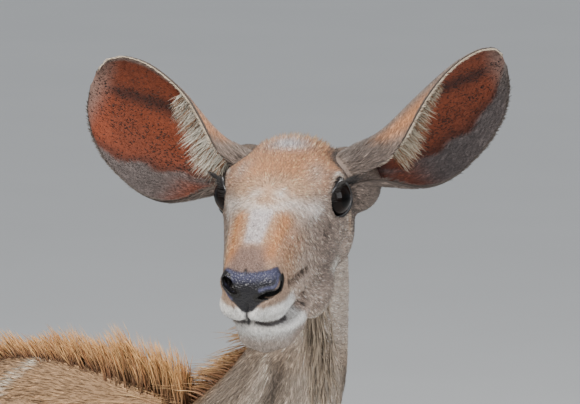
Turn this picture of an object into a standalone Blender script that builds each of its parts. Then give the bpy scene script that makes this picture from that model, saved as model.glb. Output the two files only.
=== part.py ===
"""A greater kudu cow, standing still at life size.

The animal faces +X with its left side to +Y, and its four feet stand on z = 0.
Body, neck and legs are lofted as round tubes from a few stations each, fused and
smoothed, and then parted by thin cuts into the pieces a person would name.
The head is lofted along its own axis from profile curves, in a frame of its own
whose origin is midway between the eyes. All sizes are in metres.
"""

import math
import random

import bmesh
import bpy
import numpy as np
from mathutils import Matrix, Vector

# Driving sizes
CUT_GAP = 0.0003
FLESH_VOXEL = 0.0075
FLESH_TRIANGLES = 4100
HEAD_VOXEL = 0.0032
HEAD_TRIANGLES = 3820

# The pose of the head: midway between the eyes, and where the muzzle points
HEAD_PLACE = Vector((0.530, -0.123, 1.49))
HEAD_TURN = math.radians(-54.0)
HEAD_DROP = math.radians(19.4)

EYE_RADIUS = 0.0200
EYE_CENTRE = Vector((-0.002, 0.0550, 0.001))
EYE_GAZE = Vector((0.45, 0.88, 0.10)).normalized()
LID_THICKNESS = 0.0026

COLOURS = {
    "coat": ((0.42, 0.30, 0.20), 0.85),
    "mane": ((0.45, 0.28, 0.14), 0.85),
    "ear": ((0.38, 0.24, 0.17), 0.8),
    "eye": ((0.012, 0.009, 0.008), 0.08),
    "hoof": ((0.035, 0.030, 0.027), 0.45),
}


def clear_scene():
    for thing in list(bpy.data.objects):
        bpy.data.objects.remove(thing, do_unlink=True)


def material(name):
    """The plain finish of one kind of surface, made once."""
    if name in bpy.data.materials:
        return bpy.data.materials[name]
    made = bpy.data.materials.new(name)
    made.use_nodes = True
    shader = made.node_tree.nodes["Principled BSDF"]
    colour, roughness = COLOURS[name]
    shader.inputs["Base Color"].default_value = (*colour, 1.0)
    shader.inputs["Roughness"].default_value = roughness
    shader.inputs["Metallic"].default_value = 0.0
    made.diffuse_color = (*colour, 1.0)
    return made


def curve(knots, at):
    """Smooth values through knots (place, value, ...) by cubic Hermite pieces."""
    knots = np.array(knots, float)
    x, y = knots[:, 0], knots[:, 1:]
    slope = np.empty_like(y)
    step = np.diff(x)[:, None]
    rise = np.diff(y, axis=0) / step
    slope[0], slope[-1] = rise[0], rise[-1]
    slope[1:-1] = (rise[:-1] * step[1:] + rise[1:] * step[:-1]) / (step[:-1] + step[1:])
    at = np.clip(np.atleast_1d(np.asarray(at, float)), x[0], x[-1])
    i = np.clip(np.searchsorted(x, at, side="right") - 1, 0, len(x) - 2)
    h = (x[i + 1] - x[i])[:, None]
    u = ((at - x[i])[:, None]) / h
    return (
        y[i] * (2 * u**3 - 3 * u**2 + 1)
        + slope[i] * h * (u**3 - 2 * u**2 + u)
        + y[i + 1] * (3 * u**2 - 2 * u**3)
        + slope[i + 1] * h * (u**3 - u**2)
    )


def mesh_object(name, points, faces):
    data = bpy.data.meshes.new(name)
    data.from_pydata([tuple(map(float, p)) for p in points], [], faces)
    made = bpy.data.objects.new(name, data)
    bpy.context.scene.collection.objects.link(made)
    return made


def rings_object(name, rings):
    """A closed skin over rings of equal point count, with a flat cap at each end."""
    count = len(rings[0])
    points = [p for ring in rings for p in ring]
    faces = [tuple(reversed(range(count)))]
    for r in range(len(rings) - 1):
        for k in range(count):
            a, b = r * count + k, r * count + (k + 1) % count
            faces.append((a, b, b + count, a + count))
    last = (len(rings) - 1) * count
    faces.append(tuple(range(last, last + count)))
    made = mesh_object(name, points, faces)
    outward(made)
    return made


def outward(thing):
    """Turns every face of a closed mesh to point out."""
    work = bmesh.new()
    work.from_mesh(thing.data)
    bmesh.ops.recalc_face_normals(work, faces=work.faces)
    if work.calc_volume(signed=True) < 0:
        bmesh.ops.reverse_faces(work, faces=work.faces)
    work.to_mesh(thing.data)
    work.free()


# A limb, neck or trunk is a table of stations. Each one has the centre's x, y, z, the
# half width, the reach to the front or top, the reach to the back or underside, and
# the turn of its front about z in degrees.


def station_frame(stations, t):
    """Centre, sizes and axes (along, left, top) of a tube at station number t."""
    table = np.array(stations, float)
    knots = np.column_stack([np.arange(len(table)), table])
    here = curve(knots, t)[0]
    ahead, behind = curve(knots, min(t + 0.02, len(table) - 1))[0], curve(knots, max(t - 0.02, 0))[0]
    along = ahead[:3] - behind[:3]
    along /= np.linalg.norm(along)
    turn = math.radians(here[6])
    left = np.array([-math.sin(turn), math.cos(turn), 0.0])
    left -= along * (left @ along)
    left /= np.linalg.norm(left)
    return here[:3], here[3:6], along, left, np.cross(along, left)


def tube_point(stations, t, angle, power=2.0):
    """A point on a tube: angle 0 is its left side, and 90 degrees its front or top."""
    centre, (wide, fore, aft), _, left, top = station_frame(stations, t)
    c, s = math.cos(angle), math.sin(angle)
    across = wide * math.copysign(abs(c) ** (2 / power), c)
    up = (fore if s > 0 else aft) * math.copysign(abs(s) ** (2 / power), s)
    return centre + across * left + up * top


def tube(name, stations, sides=28, rings_each=5, power=2.0):
    count = (len(stations) - 1) * rings_each + 1
    turns = [2 * math.pi * k / sides for k in range(sides)]
    rings = [
        [tube_point(stations, r / rings_each, a, power) for a in turns] for r in range(count)
    ]
    return rings_object(name, rings)


def blob(name, centre, radii, turn=(0.0, 0.0, 0.0)):
    """An ellipsoid that swells the flesh, such as a muscle."""
    bpy.ops.mesh.primitive_uv_sphere_add(segments=32, ring_count=20, radius=1.0)
    made = bpy.context.object
    made.name = name
    place = Matrix.Translation(centre)
    spin = Matrix.Rotation(math.radians(turn[2]), 4, "Z")
    spin = spin @ Matrix.Rotation(math.radians(turn[1]), 4, "Y")
    spin = spin @ Matrix.Rotation(math.radians(turn[0]), 4, "X")
    made.data.transform(place @ spin @ Matrix.Diagonal((*radii, 1.0)))
    return made


def mirrored(sizes, side):
    """Stations or a point moved to the left (side 1) or right (side -1) of the body."""
    return [(x, y * side, z, *rest) for x, y, z, *rest in sizes]


def joined(name, pieces):
    """One object that holds all the pieces' meshes, still overlapping."""
    bpy.ops.object.select_all(action="DESELECT")
    for piece in pieces:
        piece.select_set(True)
    bpy.context.view_layer.objects.active = pieces[0]
    bpy.ops.object.join()
    made = bpy.context.object
    made.name = name
    return made


def applied(thing, kind, **settings):
    """Adds one modifier with these settings and applies it."""
    modifier = thing.modifiers.new(kind.title(), kind)
    for key, value in settings.items():
        setattr(modifier, key, value)
    bpy.ops.object.select_all(action="DESELECT")
    thing.select_set(True)
    bpy.context.view_layer.objects.active = thing
    bpy.ops.object.modifier_apply(modifier=modifier.name)


def fused(name, pieces, voxel, smoothing):
    """The pieces melted into one skin, as muscles lie under one hide."""
    made = joined(name, pieces)
    applied(made, "REMESH", mode="VOXEL", voxel_size=voxel, adaptivity=0.0)
    applied(made, "SMOOTH", factor=0.5, iterations=smoothing)
    return made


def thinned(thing, triangles):
    """Fewer triangles, kept where the surface bends."""
    applied(thing, "TRIANGULATE")
    share = triangles / len(thing.data.polygons)
    if share < 1:
        applied(thing, "DECIMATE", ratio=share)
    applied(thing, "TRIANGULATE")


def boolean(thing, other, operation, solver="EXACT"):
    applied(thing, "BOOLEAN", operation=operation, object=other, solver=solver)


def copy_of(thing, name):
    made = bpy.data.objects.new(name, thing.data.copy())
    bpy.context.scene.collection.objects.link(made)
    return made


def keep_largest(thing):
    """Keeps the largest closed surface of a mesh and drops the scraps."""
    work = bmesh.new()
    work.from_mesh(thing.data)
    bmesh.ops.remove_doubles(work, verts=work.verts, dist=1e-6)
    bmesh.ops.dissolve_degenerate(work, edges=work.edges, dist=1e-6)
    unseen, islands = set(work.verts), []
    while unseen:
        stack, island = [unseen.pop()], []
        while stack:
            vert = stack.pop()
            island.append(vert)
            for edge in vert.link_edges:
                other = edge.other_vert(vert)
                if other in unseen:
                    unseen.remove(other)
                    stack.append(other)
        islands.append(island)
    islands.sort(key=lambda island: reach_of(island), reverse=True)
    for island in islands[1:]:
        bmesh.ops.delete(work, geom=island, context="VERTS")
    work.to_mesh(thing.data)
    work.free()


def reach_of(verts):
    low = [min(v.co[k] for v in verts) for k in range(3)]
    high = [max(v.co[k] for v in verts) for k in range(3)]
    return math.dist(low, high)


def grown(thing, name, by):
    """A copy with its surface moved out along its normals."""
    made = copy_of(thing, name)
    work = bmesh.new()
    work.from_mesh(made.data)
    work.normal_update()
    moves = [(v, v.normal.copy()) for v in work.verts]
    for vert, normal in moves:
        vert.co += normal * by
    work.to_mesh(made.data)
    work.free()
    return made


def hexahedron(name, low_ring, high_ring):
    return rings_object(name, [low_ring, high_ring])


# Trunk

TRUNK = [
    (-0.940, 0, 1.000, 0.020, 0.030, 0.040, 0),
    (-0.910, 0, 0.995, 0.072, 0.095, 0.115, 0),
    (-0.860, 0, 0.990, 0.108, 0.150, 0.160, 0),
    (-0.785, 0, 0.980, 0.134, 0.196, 0.190, 0),
    (-0.670, 0, 0.970, 0.146, 0.222, 0.200, 0),
    (-0.525, 0, 0.965, 0.148, 0.218, 0.188, 0),
    (-0.385, 0, 0.955, 0.162, 0.222, 0.206, 0),
    (-0.245, 0, 0.950, 0.167, 0.236, 0.220, 0),
    (-0.110, 0, 0.955, 0.160, 0.262, 0.226, 0),
    (0.000, 0, 0.960, 0.146, 0.275, 0.220, 0),
    (0.110, 0, 0.960, 0.130, 0.266, 0.198, 0),
    (0.205, 0, 0.955, 0.102, 0.245, 0.158, 0),
    (0.275, 0, 0.945, 0.068, 0.160, 0.105, 0),
    (0.318, 0, 0.950, 0.022, 0.050, 0.045, 0),
]

NECK = [
    (0.040, 0, 0.965, 0.110, 0.190, 0.170, 0),
    (0.145, 0, 1.005, 0.102, 0.155, 0.165, 0),
    (0.250, 0.001, 1.085, 0.084, 0.114, 0.132, -3),
    (0.335, 0.010, 1.172, 0.066, 0.091, 0.102, -9),
    (0.392, 0.020, 1.260, 0.054, 0.075, 0.078, -17),
    (0.424, 0.011, 1.345, 0.048, 0.067, 0.064, -29),
    (0.447, -0.010, 1.425, 0.046, 0.060, 0.057, -42),
    (0.4645, -0.033, 1.495, 0.044, 0.046, 0.046, -52),
]

FORELEG = [
    (0.110, 0.106, 0.930, 0.048, 0.100, 0.105, 0),
    (0.096, 0.112, 0.810, 0.046, 0.074, 0.084, 0),
    (0.084, 0.111, 0.720, 0.037, 0.049, 0.053, 0),
    (0.082, 0.107, 0.610, 0.031, 0.036, 0.037, 0),
    (0.083, 0.102, 0.500, 0.0255, 0.028, 0.028, 0),
    (0.085, 0.099, 0.430, 0.0265, 0.029, 0.027, 0),
    (0.087, 0.098, 0.392, 0.0275, 0.030, 0.025, 0),
    (0.084, 0.097, 0.350, 0.0220, 0.023, 0.023, 0),
    (0.083, 0.096, 0.290, 0.0170, 0.016, 0.019, 0),
    (0.083, 0.095, 0.200, 0.0165, 0.016, 0.019, 0),
    (0.084, 0.095, 0.155, 0.0205, 0.020, 0.024, 0),
    (0.090, 0.095, 0.124, 0.0215, 0.020, 0.023, 0),
    (0.103, 0.095, 0.090, 0.0215, 0.019, 0.021, 0),
    (0.118, 0.095, 0.056, 0.0260, 0.023, 0.024, 0),
    (0.130, 0.095, 0.030, 0.0260, 0.023, 0.024, 0),
]

HINDLEG = [
    (-0.710, 0.080, 0.990, 0.064, 0.140, 0.130, 0),
    (-0.690, 0.096, 0.870, 0.058, 0.125, 0.125, 0),
    (-0.667, 0.104, 0.775, 0.047, 0.084, 0.100, 0),
    (-0.675, 0.104, 0.705, 0.040, 0.060, 0.074, 0),
    (-0.719, 0.101, 0.635, 0.032, 0.045, 0.050, 0),
    (-0.773, 0.098, 0.568, 0.0265, 0.034, 0.036, 0),
    (-0.813, 0.096, 0.512, 0.0260, 0.032, 0.030, 0),
    (-0.820, 0.095, 0.455, 0.0240, 0.027, 0.027, 0),
    (-0.811, 0.094, 0.380, 0.0190, 0.019, 0.021, 0),
    (-0.799, 0.093, 0.280, 0.0175, 0.017, 0.020, 0),
    (-0.789, 0.092, 0.200, 0.0175, 0.017, 0.020, 0),
    (-0.781, 0.092, 0.155, 0.0210, 0.020, 0.025, 0),
    (-0.773, 0.092, 0.124, 0.0215, 0.020, 0.023, 0),
    (-0.758, 0.092, 0.090, 0.0215, 0.019, 0.021, 0),
    (-0.741, 0.092, 0.056, 0.0260, 0.023, 0.024, 0),
    (-0.728, 0.092, 0.030, 0.0260, 0.023, 0.024, 0),
]

TAIL = [
    (-0.870, 0, 1.090, 0.030, 0.030, 0.030, 0),
    (-0.917, 0, 1.060, 0.024, 0.022, 0.022, 0),
    (-0.947, 0, 0.990, 0.020, 0.016, 0.016, 0),
    (-0.955, 0, 0.900, 0.017, 0.013, 0.013, 0),
    (-0.953, 0, 0.815, 0.013, 0.010, 0.010, 0),
    (-0.947, 0, 0.745, 0.008, 0.007, 0.007, 0),
]

# How far each foot steps ahead of or behind its plain place
STEPS = {"fore_left": 0.050, "fore_right": -0.030, "hind_left": -0.055, "hind_right": 0.060}
STEP_TOP = 0.80


def stepped(stations, step):
    """Leans a leg so that its foot lands ahead of or behind its plain place."""
    moved = []
    for x, y, z, *rest in stations:
        share = min(1.0, max(0.0, (STEP_TOP - z) / STEP_TOP))
        moved.append((x + step * share, y, z, *rest))
    return moved


def leg_stations(foot):
    side = 1 if foot.endswith("left") else -1
    plain = FORELEG if foot.startswith("fore") else HINDLEG
    return mirrored(stepped(plain, STEPS[foot]), side)


def muscles(side):
    """Swellings of the shoulder, upper arm, haunch and flank on one side."""
    word = "left" if side > 0 else "right"
    return [
        blob(f"shoulder_{word}", (0.075, 0.090 * side, 1.010), (0.092, 0.046, 0.195), (0, -16, 0)),
        blob(f"upper_arm_{word}", (0.100, 0.099 * side, 0.880), (0.095, 0.044, 0.130), (0, 14, 0)),
        blob(f"haunch_{word}", (-0.725, 0.082 * side, 0.965), (0.140, 0.066, 0.200), (0, 10, 0)),
        blob(f"hip_{word}", (-0.600, 0.076 * side, 1.095), (0.080, 0.050, 0.060), (0, 8, 0)),
        blob(f"stifle_{word}", (-0.642, 0.100 * side, 0.815), (0.052, 0.036, 0.095), (0, -20, 0)),
    ]


def hock_tendon(foot):
    """The cord from the calf to the point of the hock."""
    side = 1 if foot.endswith("left") else -1
    step = STEPS[foot]
    line = [
        (-0.748, 0.101, 0.680, 0.016, 0.020, 0.020, 0),
        (-0.803, 0.099, 0.612, 0.013, 0.014, 0.014, 0),
        (-0.844, 0.097, 0.556, 0.0145, 0.015, 0.015, 0),
        (-0.846, 0.096, 0.525, 0.0150, 0.016, 0.014, 0),
        (-0.835, 0.095, 0.460, 0.0130, 0.014, 0.012, 0),
    ]
    return tube(f"tendon_{foot}", mirrored(stepped(line, step), side), sides=16, rings_each=3)


def body_flesh():
    pieces = [tube("trunk", TRUNK, sides=40, power=2.15), tube("neck_flesh", NECK, sides=32)]
    pieces.append(tube("tail_flesh", TAIL, sides=16))
    for foot in STEPS:
        pieces.append(tube(f"leg_{foot}", leg_stations(foot), sides=24))
        if foot.startswith("hind"):
            pieces.append(hock_tendon(foot))
    for side in (1, -1):
        pieces += muscles(side)
    skull = head_core()
    skull.data.transform(head_matrix())
    return fused("flesh", pieces + [skull], FLESH_VOXEL, 6)


# Head, in its own frame: x to the muzzle, y to the animal's left, z to the forehead

CROWN = [(-0.135, -0.030), (-0.115, 0.008), (-0.090, 0.028), (-0.060, 0.039), (-0.025, 0.0450)]
CROWN += [(0.010, 0.0450), (0.060, 0.0405), (0.110, 0.0345), (0.155, 0.0275), (0.185, 0.0200)]
CROWN += [(0.200, 0.0110), (0.2085, -0.0040)]
CHIN = [(-0.135, -0.060), (-0.110, -0.088), (-0.070, -0.107), (-0.030, -0.112), (0.020, -0.107)]
CHIN += [(0.070, -0.097), (0.115, -0.091), (0.150, -0.092), (0.175, -0.0940), (0.192, -0.085)]
CHIN += [(0.202, -0.064), (0.2085, -0.040)]

# Half width and height above the eyes' level of three lines along each side of the head
BROW_LINE = [(-0.135, 0.022, -0.030), (-0.110, 0.038, 0.000), (-0.080, 0.049, 0.014)]
BROW_LINE += [(-0.040, 0.053, 0.027), (0.000, 0.054, 0.031), (0.040, 0.043, 0.029)]
BROW_LINE += [(0.080, 0.034, 0.0240), (0.120, 0.0300, 0.0195), (0.165, 0.0310, 0.0125)]
BROW_LINE += [(0.190, 0.0290, 0.0050), (0.2085, 0.0180, -0.0090)]
CHEEK_LINE = [(-0.135, 0.028, -0.045), (-0.110, 0.046, -0.034), (-0.080, 0.060, -0.024)]
CHEEK_LINE += [(-0.040, 0.068, -0.014), (0.000, 0.067, -0.014), (0.040, 0.060, -0.026)]
CHEEK_LINE += [(0.080, 0.052, -0.032), (0.120, 0.046, -0.033), (0.165, 0.040, -0.032)]
CHEEK_LINE += [(0.190, 0.0345, -0.030), (0.2085, 0.0220, -0.0240)]
JAW_LINE = [(-0.135, 0.022, -0.055), (-0.110, 0.037, -0.072), (-0.070, 0.047, -0.087)]
JAW_LINE += [(-0.030, 0.049, -0.092), (0.020, 0.047, -0.086), (0.070, 0.043, -0.079)]
JAW_LINE += [(0.120, 0.039, -0.075), (0.165, 0.036, -0.077), (0.188, 0.0280, -0.071)]
JAW_LINE += [(0.2085, 0.0150, -0.0380)]

MOUTH_FRONT = Vector((0.205, 0.0, -0.045))
MOUTH_CORNER = Vector((0.128, 0.047, -0.053))
NOSTRIL = Vector((0.198, 0.0250, -0.007))
JAW_SWING = Vector((0.0, 0.011, -0.003))


def head_matrix():
    """From the head's own frame to the body's."""
    turn = Matrix.Rotation(HEAD_TURN, 4, "Z") @ Matrix.Rotation(HEAD_DROP, 4, "Y")
    return Matrix.Translation(HEAD_PLACE) @ turn


def head_ring(x, sides):
    """The head's outline at one place along it, through eight points of its lines."""
    top, low = curve(CROWN, x)[0][0], curve(CHIN, x)[0][0]
    brow, cheek, jaw = (curve(line, x)[0] for line in (BROW_LINE, CHEEK_LINE, JAW_LINE))
    half = [(0.0, top), tuple(brow), tuple(cheek), tuple(jaw), (0.0, low)]
    loop = half + [(-y, z) for y, z in half[-2:0:-1]]
    closed = np.array(loop[-2:] + loop + loop[:3])
    knots = np.column_stack([np.arange(-2, len(loop) + 3), closed])
    outline = curve(knots, np.arange(sides) * len(loop) / sides)
    return [(x, y, z) for y, z in outline]


def head_core():
    stops = np.linspace(CROWN[0][0], CROWN[-1][0], 56)
    return rings_object("head_core", [head_ring(x, 48) for x in stops])


def eye_centre(side):
    return Vector((EYE_CENTRE.x, EYE_CENTRE.y * side, EYE_CENTRE.z))


def eye_gaze(side):
    return Vector((EYE_GAZE.x, EYE_GAZE.y * side, EYE_GAZE.z))


def ball(name, centre, radius, segments=32):
    bpy.ops.mesh.primitive_uv_sphere_add(segments=segments, ring_count=segments // 2, radius=radius)
    made = bpy.context.object
    made.name = name
    made.data.transform(Matrix.Translation(centre))
    return made


def head_swellings(side):
    """Lids over the eyeball, brow, cheek muscle, jaw angle, lips and nostril wing."""
    eye = eye_centre(side)
    return [
        ball("lids", eye, EYE_RADIUS + LID_THICKNESS),
        blob("brow", eye + Vector((-0.003, -0.002 * side, 0.017)), (0.030, 0.014, 0.012), (0, 0, -8 * side)),
        blob("cheek_muscle", (-0.040, 0.050 * side, -0.055), (0.050, 0.017, 0.038)),
        blob("upper_lip", (0.180, 0.020 * side, -0.035), (0.026, 0.022, 0.013)),
        blob("lower_lip", (0.174, 0.016 * side, -0.070), (0.022, 0.019, 0.019)),
        blob("nostril_wing", (0.188, 0.026 * side, -0.005), (0.015, 0.011, 0.014)),
        blob("ear_root", (-0.086, 0.052 * side, -0.006), (0.025, 0.022, 0.023)),
    ]


def push(points, centre, move, radii):
    """Moves points near a centre by a smooth bump of the given radii."""
    away = (points - np.array(centre)) / np.array(radii)
    weight = np.exp(-(away**2).sum(1))
    return points + weight[:, None] * np.array(move)


def mouth_path(steps=24):
    """Points along the mouth from one corner round the front to the other."""
    line = []
    for k in range(-steps, steps + 1):
        share = abs(k) / steps
        side = math.copysign(1.0, k) if k else 0.0
        bend = math.sin(share * math.pi / 2)
        x = MOUTH_FRONT.x + (MOUTH_CORNER.x - MOUTH_FRONT.x) * share**1.7
        y = MOUTH_CORNER.y * bend * side
        z = MOUTH_FRONT.z + (MOUTH_CORNER.z - MOUTH_FRONT.z) * share
        line.append((x, y, z))
    return np.array(line)


def swing_jaw(points):
    """The lower jaw set a little to the left and down, as the animal chews."""
    mouth_height = MOUTH_FRONT.z + (MOUTH_CORNER.z - MOUTH_FRONT.z) * np.clip(
        (MOUTH_FRONT.x - points[:, 0]) / (MOUTH_FRONT.x - MOUTH_CORNER.x), 0, 1.6
    )
    below = np.clip((mouth_height + 0.004 - points[:, 2]) / 0.016, 0, 1)
    ahead = np.clip((points[:, 0] + 0.06) / 0.22, 0, 1)
    weight = below**2 * (3 - 2 * below) * ahead
    return points + weight[:, None] * np.array(JAW_SWING)


def shape_face(points):
    """Mouth line, nostrils, tear hollows and the groove of the upper lip."""
    line = mouth_path()
    gaps = np.linalg.norm(points[:, None, :] - line[None, :, :], axis=2)
    nearest = gaps.min(1)
    inward = line[gaps.argmin(1)] - np.array((0.150, 0.0, -0.052))
    inward /= np.linalg.norm(inward, axis=1)[:, None] + 1e-9
    depth = 0.0080 * np.exp(-((nearest / 0.0042) ** 2))
    points = points - inward * depth[:, None]
    for side in (1, -1):
        points = push(
            points, (NOSTRIL.x, NOSTRIL.y * side, NOSTRIL.z), (-0.016, -0.003 * side, 0.001),
            (0.014, 0.0085, 0.0075),
        )
        points = push(
            points, (NOSTRIL.x - 0.008, (NOSTRIL.y + 0.008) * side, NOSTRIL.z + 0.008),
            (-0.004, -0.007 * side, 0.0), (0.011, 0.008, 0.005),
        )
        points = push(points, (0.040, 0.052 * side, -0.012), (0.0, -0.0035 * side, 0.0), (0.030, 0.02, 0.010))
        points = push(points, (0.090, 0.040 * side, 0.004), (0.0, -0.0030 * side, 0.0), (0.040, 0.02, 0.012))
    points = push(points, (0.208, 0.0, -0.042), (-0.004, 0.0, 0.0), (0.012, 0.0028, 0.012))
    return swing_jaw(points)


def reshape(thing, shaper):
    """Moves a mesh's points by a function of all of them."""
    flat = np.empty(len(thing.data.vertices) * 3)
    thing.data.vertices.foreach_get("co", flat)
    thing.data.vertices.foreach_set("co", shaper(flat.reshape(-1, 3)).ravel())
    thing.data.update()


def head_flesh():
    """The whole head without ears, and the neck's end, in the body's frame."""
    pieces = [head_core()] + head_swellings(1) + head_swellings(-1)
    pieces.append(blob("full_cheek", (0.062, 0.036, -0.076), (0.050, 0.022, 0.028)))
    throat = tube("neck_end", NECK[3:], sides=32, rings_each=8)
    throat.data.transform(head_matrix().inverted())
    made = fused("head_flesh", pieces + [throat], HEAD_VOXEL, 4)
    reshape(made, shape_face)
    made.data.transform(head_matrix())
    return made


def eye_opening(side):
    """The almond between the lids, as a cutter that widens outwards from the eyeball."""
    gaze = eye_gaze(side)
    along = Vector((0.93, -0.30 * side, -0.32))
    along = (along - gaze * along.dot(gaze)).normalized()
    across = gaze.cross(along)
    rings = []
    for reach, share in ((0.003, 0.96), (0.020, 1.04), (0.045, 1.5)):
        ring = []
        for k in range(28):
            a = 2 * math.pi * k / 28
            ends = math.copysign(abs(math.cos(a)) ** 0.92, math.cos(a))
            spot = along * (0.0172 * share * ends) + across * (0.0146 * share * math.sin(a))
            ring.append(eye_centre(side) + gaze * reach + spot)
        rings.append(ring)
    made = rings_object("eye_opening", rings)
    made.data.transform(head_matrix())
    return made


def cut_eye(head, side):
    socket = ball("socket", eye_centre(side), EYE_RADIUS + CUT_GAP, segments=24)
    socket.data.transform(head_matrix())
    boolean(head, socket, "DIFFERENCE")
    opening = eye_opening(side)
    boolean(head, opening, "DIFFERENCE")
    for cutter in (socket, opening):
        bpy.data.objects.remove(cutter)


def make_eye(side):
    name = "eye_left" if side > 0 else "eye_right"
    eye = ball(name, eye_centre(side), EYE_RADIUS, segments=16)
    eye.data.transform(head_matrix())
    return eye


# Ears

# Sizes by side: the left ear is turned back further and curls more than the right one
EAR_LENGTH = 0.216
EAR_ROOT = {1: Vector((-0.088, 0.055, 0.005)), -1: Vector((-0.083, -0.050, -0.006))}
EAR_LEAN = {1: Vector((-0.60, 0.74, 0.30)), -1: Vector((-0.312, -0.889, 0.335))}
EAR_TURN = {1: math.radians(18), -1: math.radians(-10)}
EAR_HALF_WIDTH = [(-0.10, 0.052), (0.0, 0.058), (0.10, 0.066), (0.22, 0.075), (0.42, 0.0805)]
EAR_HALF_WIDTH += [(0.60, 0.077), (0.78, 0.066), (0.90, 0.048), (0.97, 0.027), (1.0, 0.009)]
EAR_CURL = {
    1: [(-0.10, 5.7), (0.0, 5.6), (0.10, 5.2), (0.22, 4.2), (0.40, 3.0), (0.6, 2.2), (0.8, 1.8), (1.0, 1.5)],
    -1: [(-0.10, 5.6), (0.0, 5.4), (0.10, 4.7), (0.22, 3.5), (0.40, 2.4), (0.6, 1.8), (0.8, 1.5), (1.0, 1.2)],
}
EAR_SAG = [(-0.10, 0.000), (0.0, 0.003), (0.20, 0.016), (0.45, 0.016), (0.75, 0.008), (1.0, 0.0)]
EAR_WALL = [(-0.16, 0.0060), (0.2, 0.0056), (0.6, 0.0042), (1.0, 0.0032)]
EAR_BOW = 0.008


def ear_axes(side):
    """Along the ear, out of its cup, and across to its lower edge, in the head's frame."""
    along = EAR_LEAN[side].normalized()
    cup = Vector((1.0, 0.0, 0.0))
    cup = (cup - along * cup.dot(along)).normalized()
    across = along.cross(cup) * side
    turn = EAR_TURN[side]
    return along, cup * math.cos(turn) + across * math.sin(turn), across * math.cos(turn) - cup * math.sin(turn)


def ear_point(side, t, v):
    """A point of the ear's middle sheet: t runs from root to tip, v from upper to lower edge."""
    along, cup, across = ear_axes(side)
    half, curl = curve(EAR_HALF_WIDTH, t)[0][0], curve(EAR_CURL[side], t)[0][0]
    angle = v * curl / 2
    round_by = half / (curl / 2)
    spine = EAR_ROOT[side] + along * (EAR_LENGTH * t) + across * curve(EAR_SAG, t)[0][0]
    spine -= cup * (EAR_BOW * math.sin(math.pi * min(max(t, 0), 1)))
    return spine + (across * math.sin(angle) + cup * (1 - math.cos(angle))) * round_by


def make_ear(side, lengthways=13, crossways=12):
    """A cupped leaf with a wall, split into the same triangles on both of its faces."""
    name = "ear_left" if side > 0 else "ear_right"
    stops = [-0.10 + 1.10 * (1 - (1 - k / lengthways) ** 1.25) for k in range(lengthways + 1)]
    spans = [-1 + 2 * k / crossways for k in range(crossways + 1)]
    sheet = [[ear_point(side, t, v) for v in spans] for t in stops]
    inner, outer = [], []
    for r, t in enumerate(stops):
        wall = curve(EAR_WALL, t)[0][0]
        for c, v in enumerate(spans):
            ahead, behind = sheet[min(r + 1, lengthways)][c], sheet[max(r - 1, 0)][c]
            right, left = sheet[r][min(c + 1, crossways)], sheet[r][max(c - 1, 0)]
            normal = (ahead - behind).cross(right - left).normalized() * side
            edge = wall * (1 - 0.45 * abs(v) ** 4)
            inner.append(sheet[r][c] + normal * edge / 2)
            outer.append(sheet[r][c] - normal * edge / 2)
    wide, count = crossways + 1, len(inner)
    faces = []
    for r in range(lengthways):
        for c in range(crossways):
            a, b, d, e = r * wide + c, r * wide + c + 1, (r + 1) * wide + c + 1, (r + 1) * wide + c
            faces += [(a, b, d), (a, d, e)]
            faces += [(a + count, d + count, b + count), (a + count, e + count, d + count)]
    rim = [c for c in range(wide)] + [r * wide + crossways for r in range(1, lengthways + 1)]
    rim += [lengthways * wide + c for c in range(crossways - 1, -1, -1)]
    rim += [r * wide for r in range(lengthways - 1, 0, -1)]
    for k, a in enumerate(rim):
        b = rim[(k + 1) % len(rim)]
        faces += [(a, a + count, b + count), (a, b + count, b)]
    ear = mesh_object(name, inner + outer, faces)
    outward(ear)
    ear.data.transform(head_matrix())
    return ear


# Feet

CORONET_HEIGHT = 0.052
CORONET_TILT = 0.35
HOOF_TOE = 0.062
HOOF_HEEL = 0.030
HOOF_WIDTH = 0.0265
HOOF_GAP = 0.0028


def foot_place(foot):
    """Where the pastern's line meets the coronet, on a foot."""
    stations = leg_stations(foot)
    x, y = stations[-2][0], stations[-2][1]
    return x, y


def coronet_z(foot, x, lower=0.0):
    """Height of the coronet's tilted plane, higher at the toe than at the heel."""
    return CORONET_HEIGHT + CORONET_TILT * (x - foot_place(foot)[0]) - lower


def make_claw(foot, outer):
    """One of the two claws of a foot, from its flat sole to the coronet."""
    x0, y0 = foot_place(foot)
    side = 1 if y0 > 0 else -1
    lean = side if outer else -side
    word = "outer" if outer else "inner"
    levels, sides = 3, 12
    rings = []
    for k in range(levels + 1):
        up = k / levels
        ring = []
        for j in range(sides):
            a = 2 * math.pi * j / sides
            c, s = math.cos(a), math.sin(a)
            front = (HOOF_TOE * (1 - up) + 0.0215 * up) * (1 + 0.10 * up * (1 - up))
            back = HOOF_HEEL * (1 - up) + 0.0215 * up
            x = x0 + 0.006 * (1 - up) + (front if c > 0 else back) * c
            taper = 1 - 0.55 * max(c, 0) ** 2.2 * (1 - 0.7 * up)
            half = (HOOF_WIDTH * (1 - up) + 0.0235 * up) / 2
            middle = HOOF_GAP / 2 + half + 0.0015 * (1 - up)
            y = y0 + lean * (middle + half * s * (taper if s > 0 else 0.55 + 0.45 * taper))
            ring.append((x, y, coronet_z(foot, x, CUT_GAP) * up))
        rings.append(ring)
    return rings_object(f"hoof_{foot}_{word}", rings)


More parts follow.
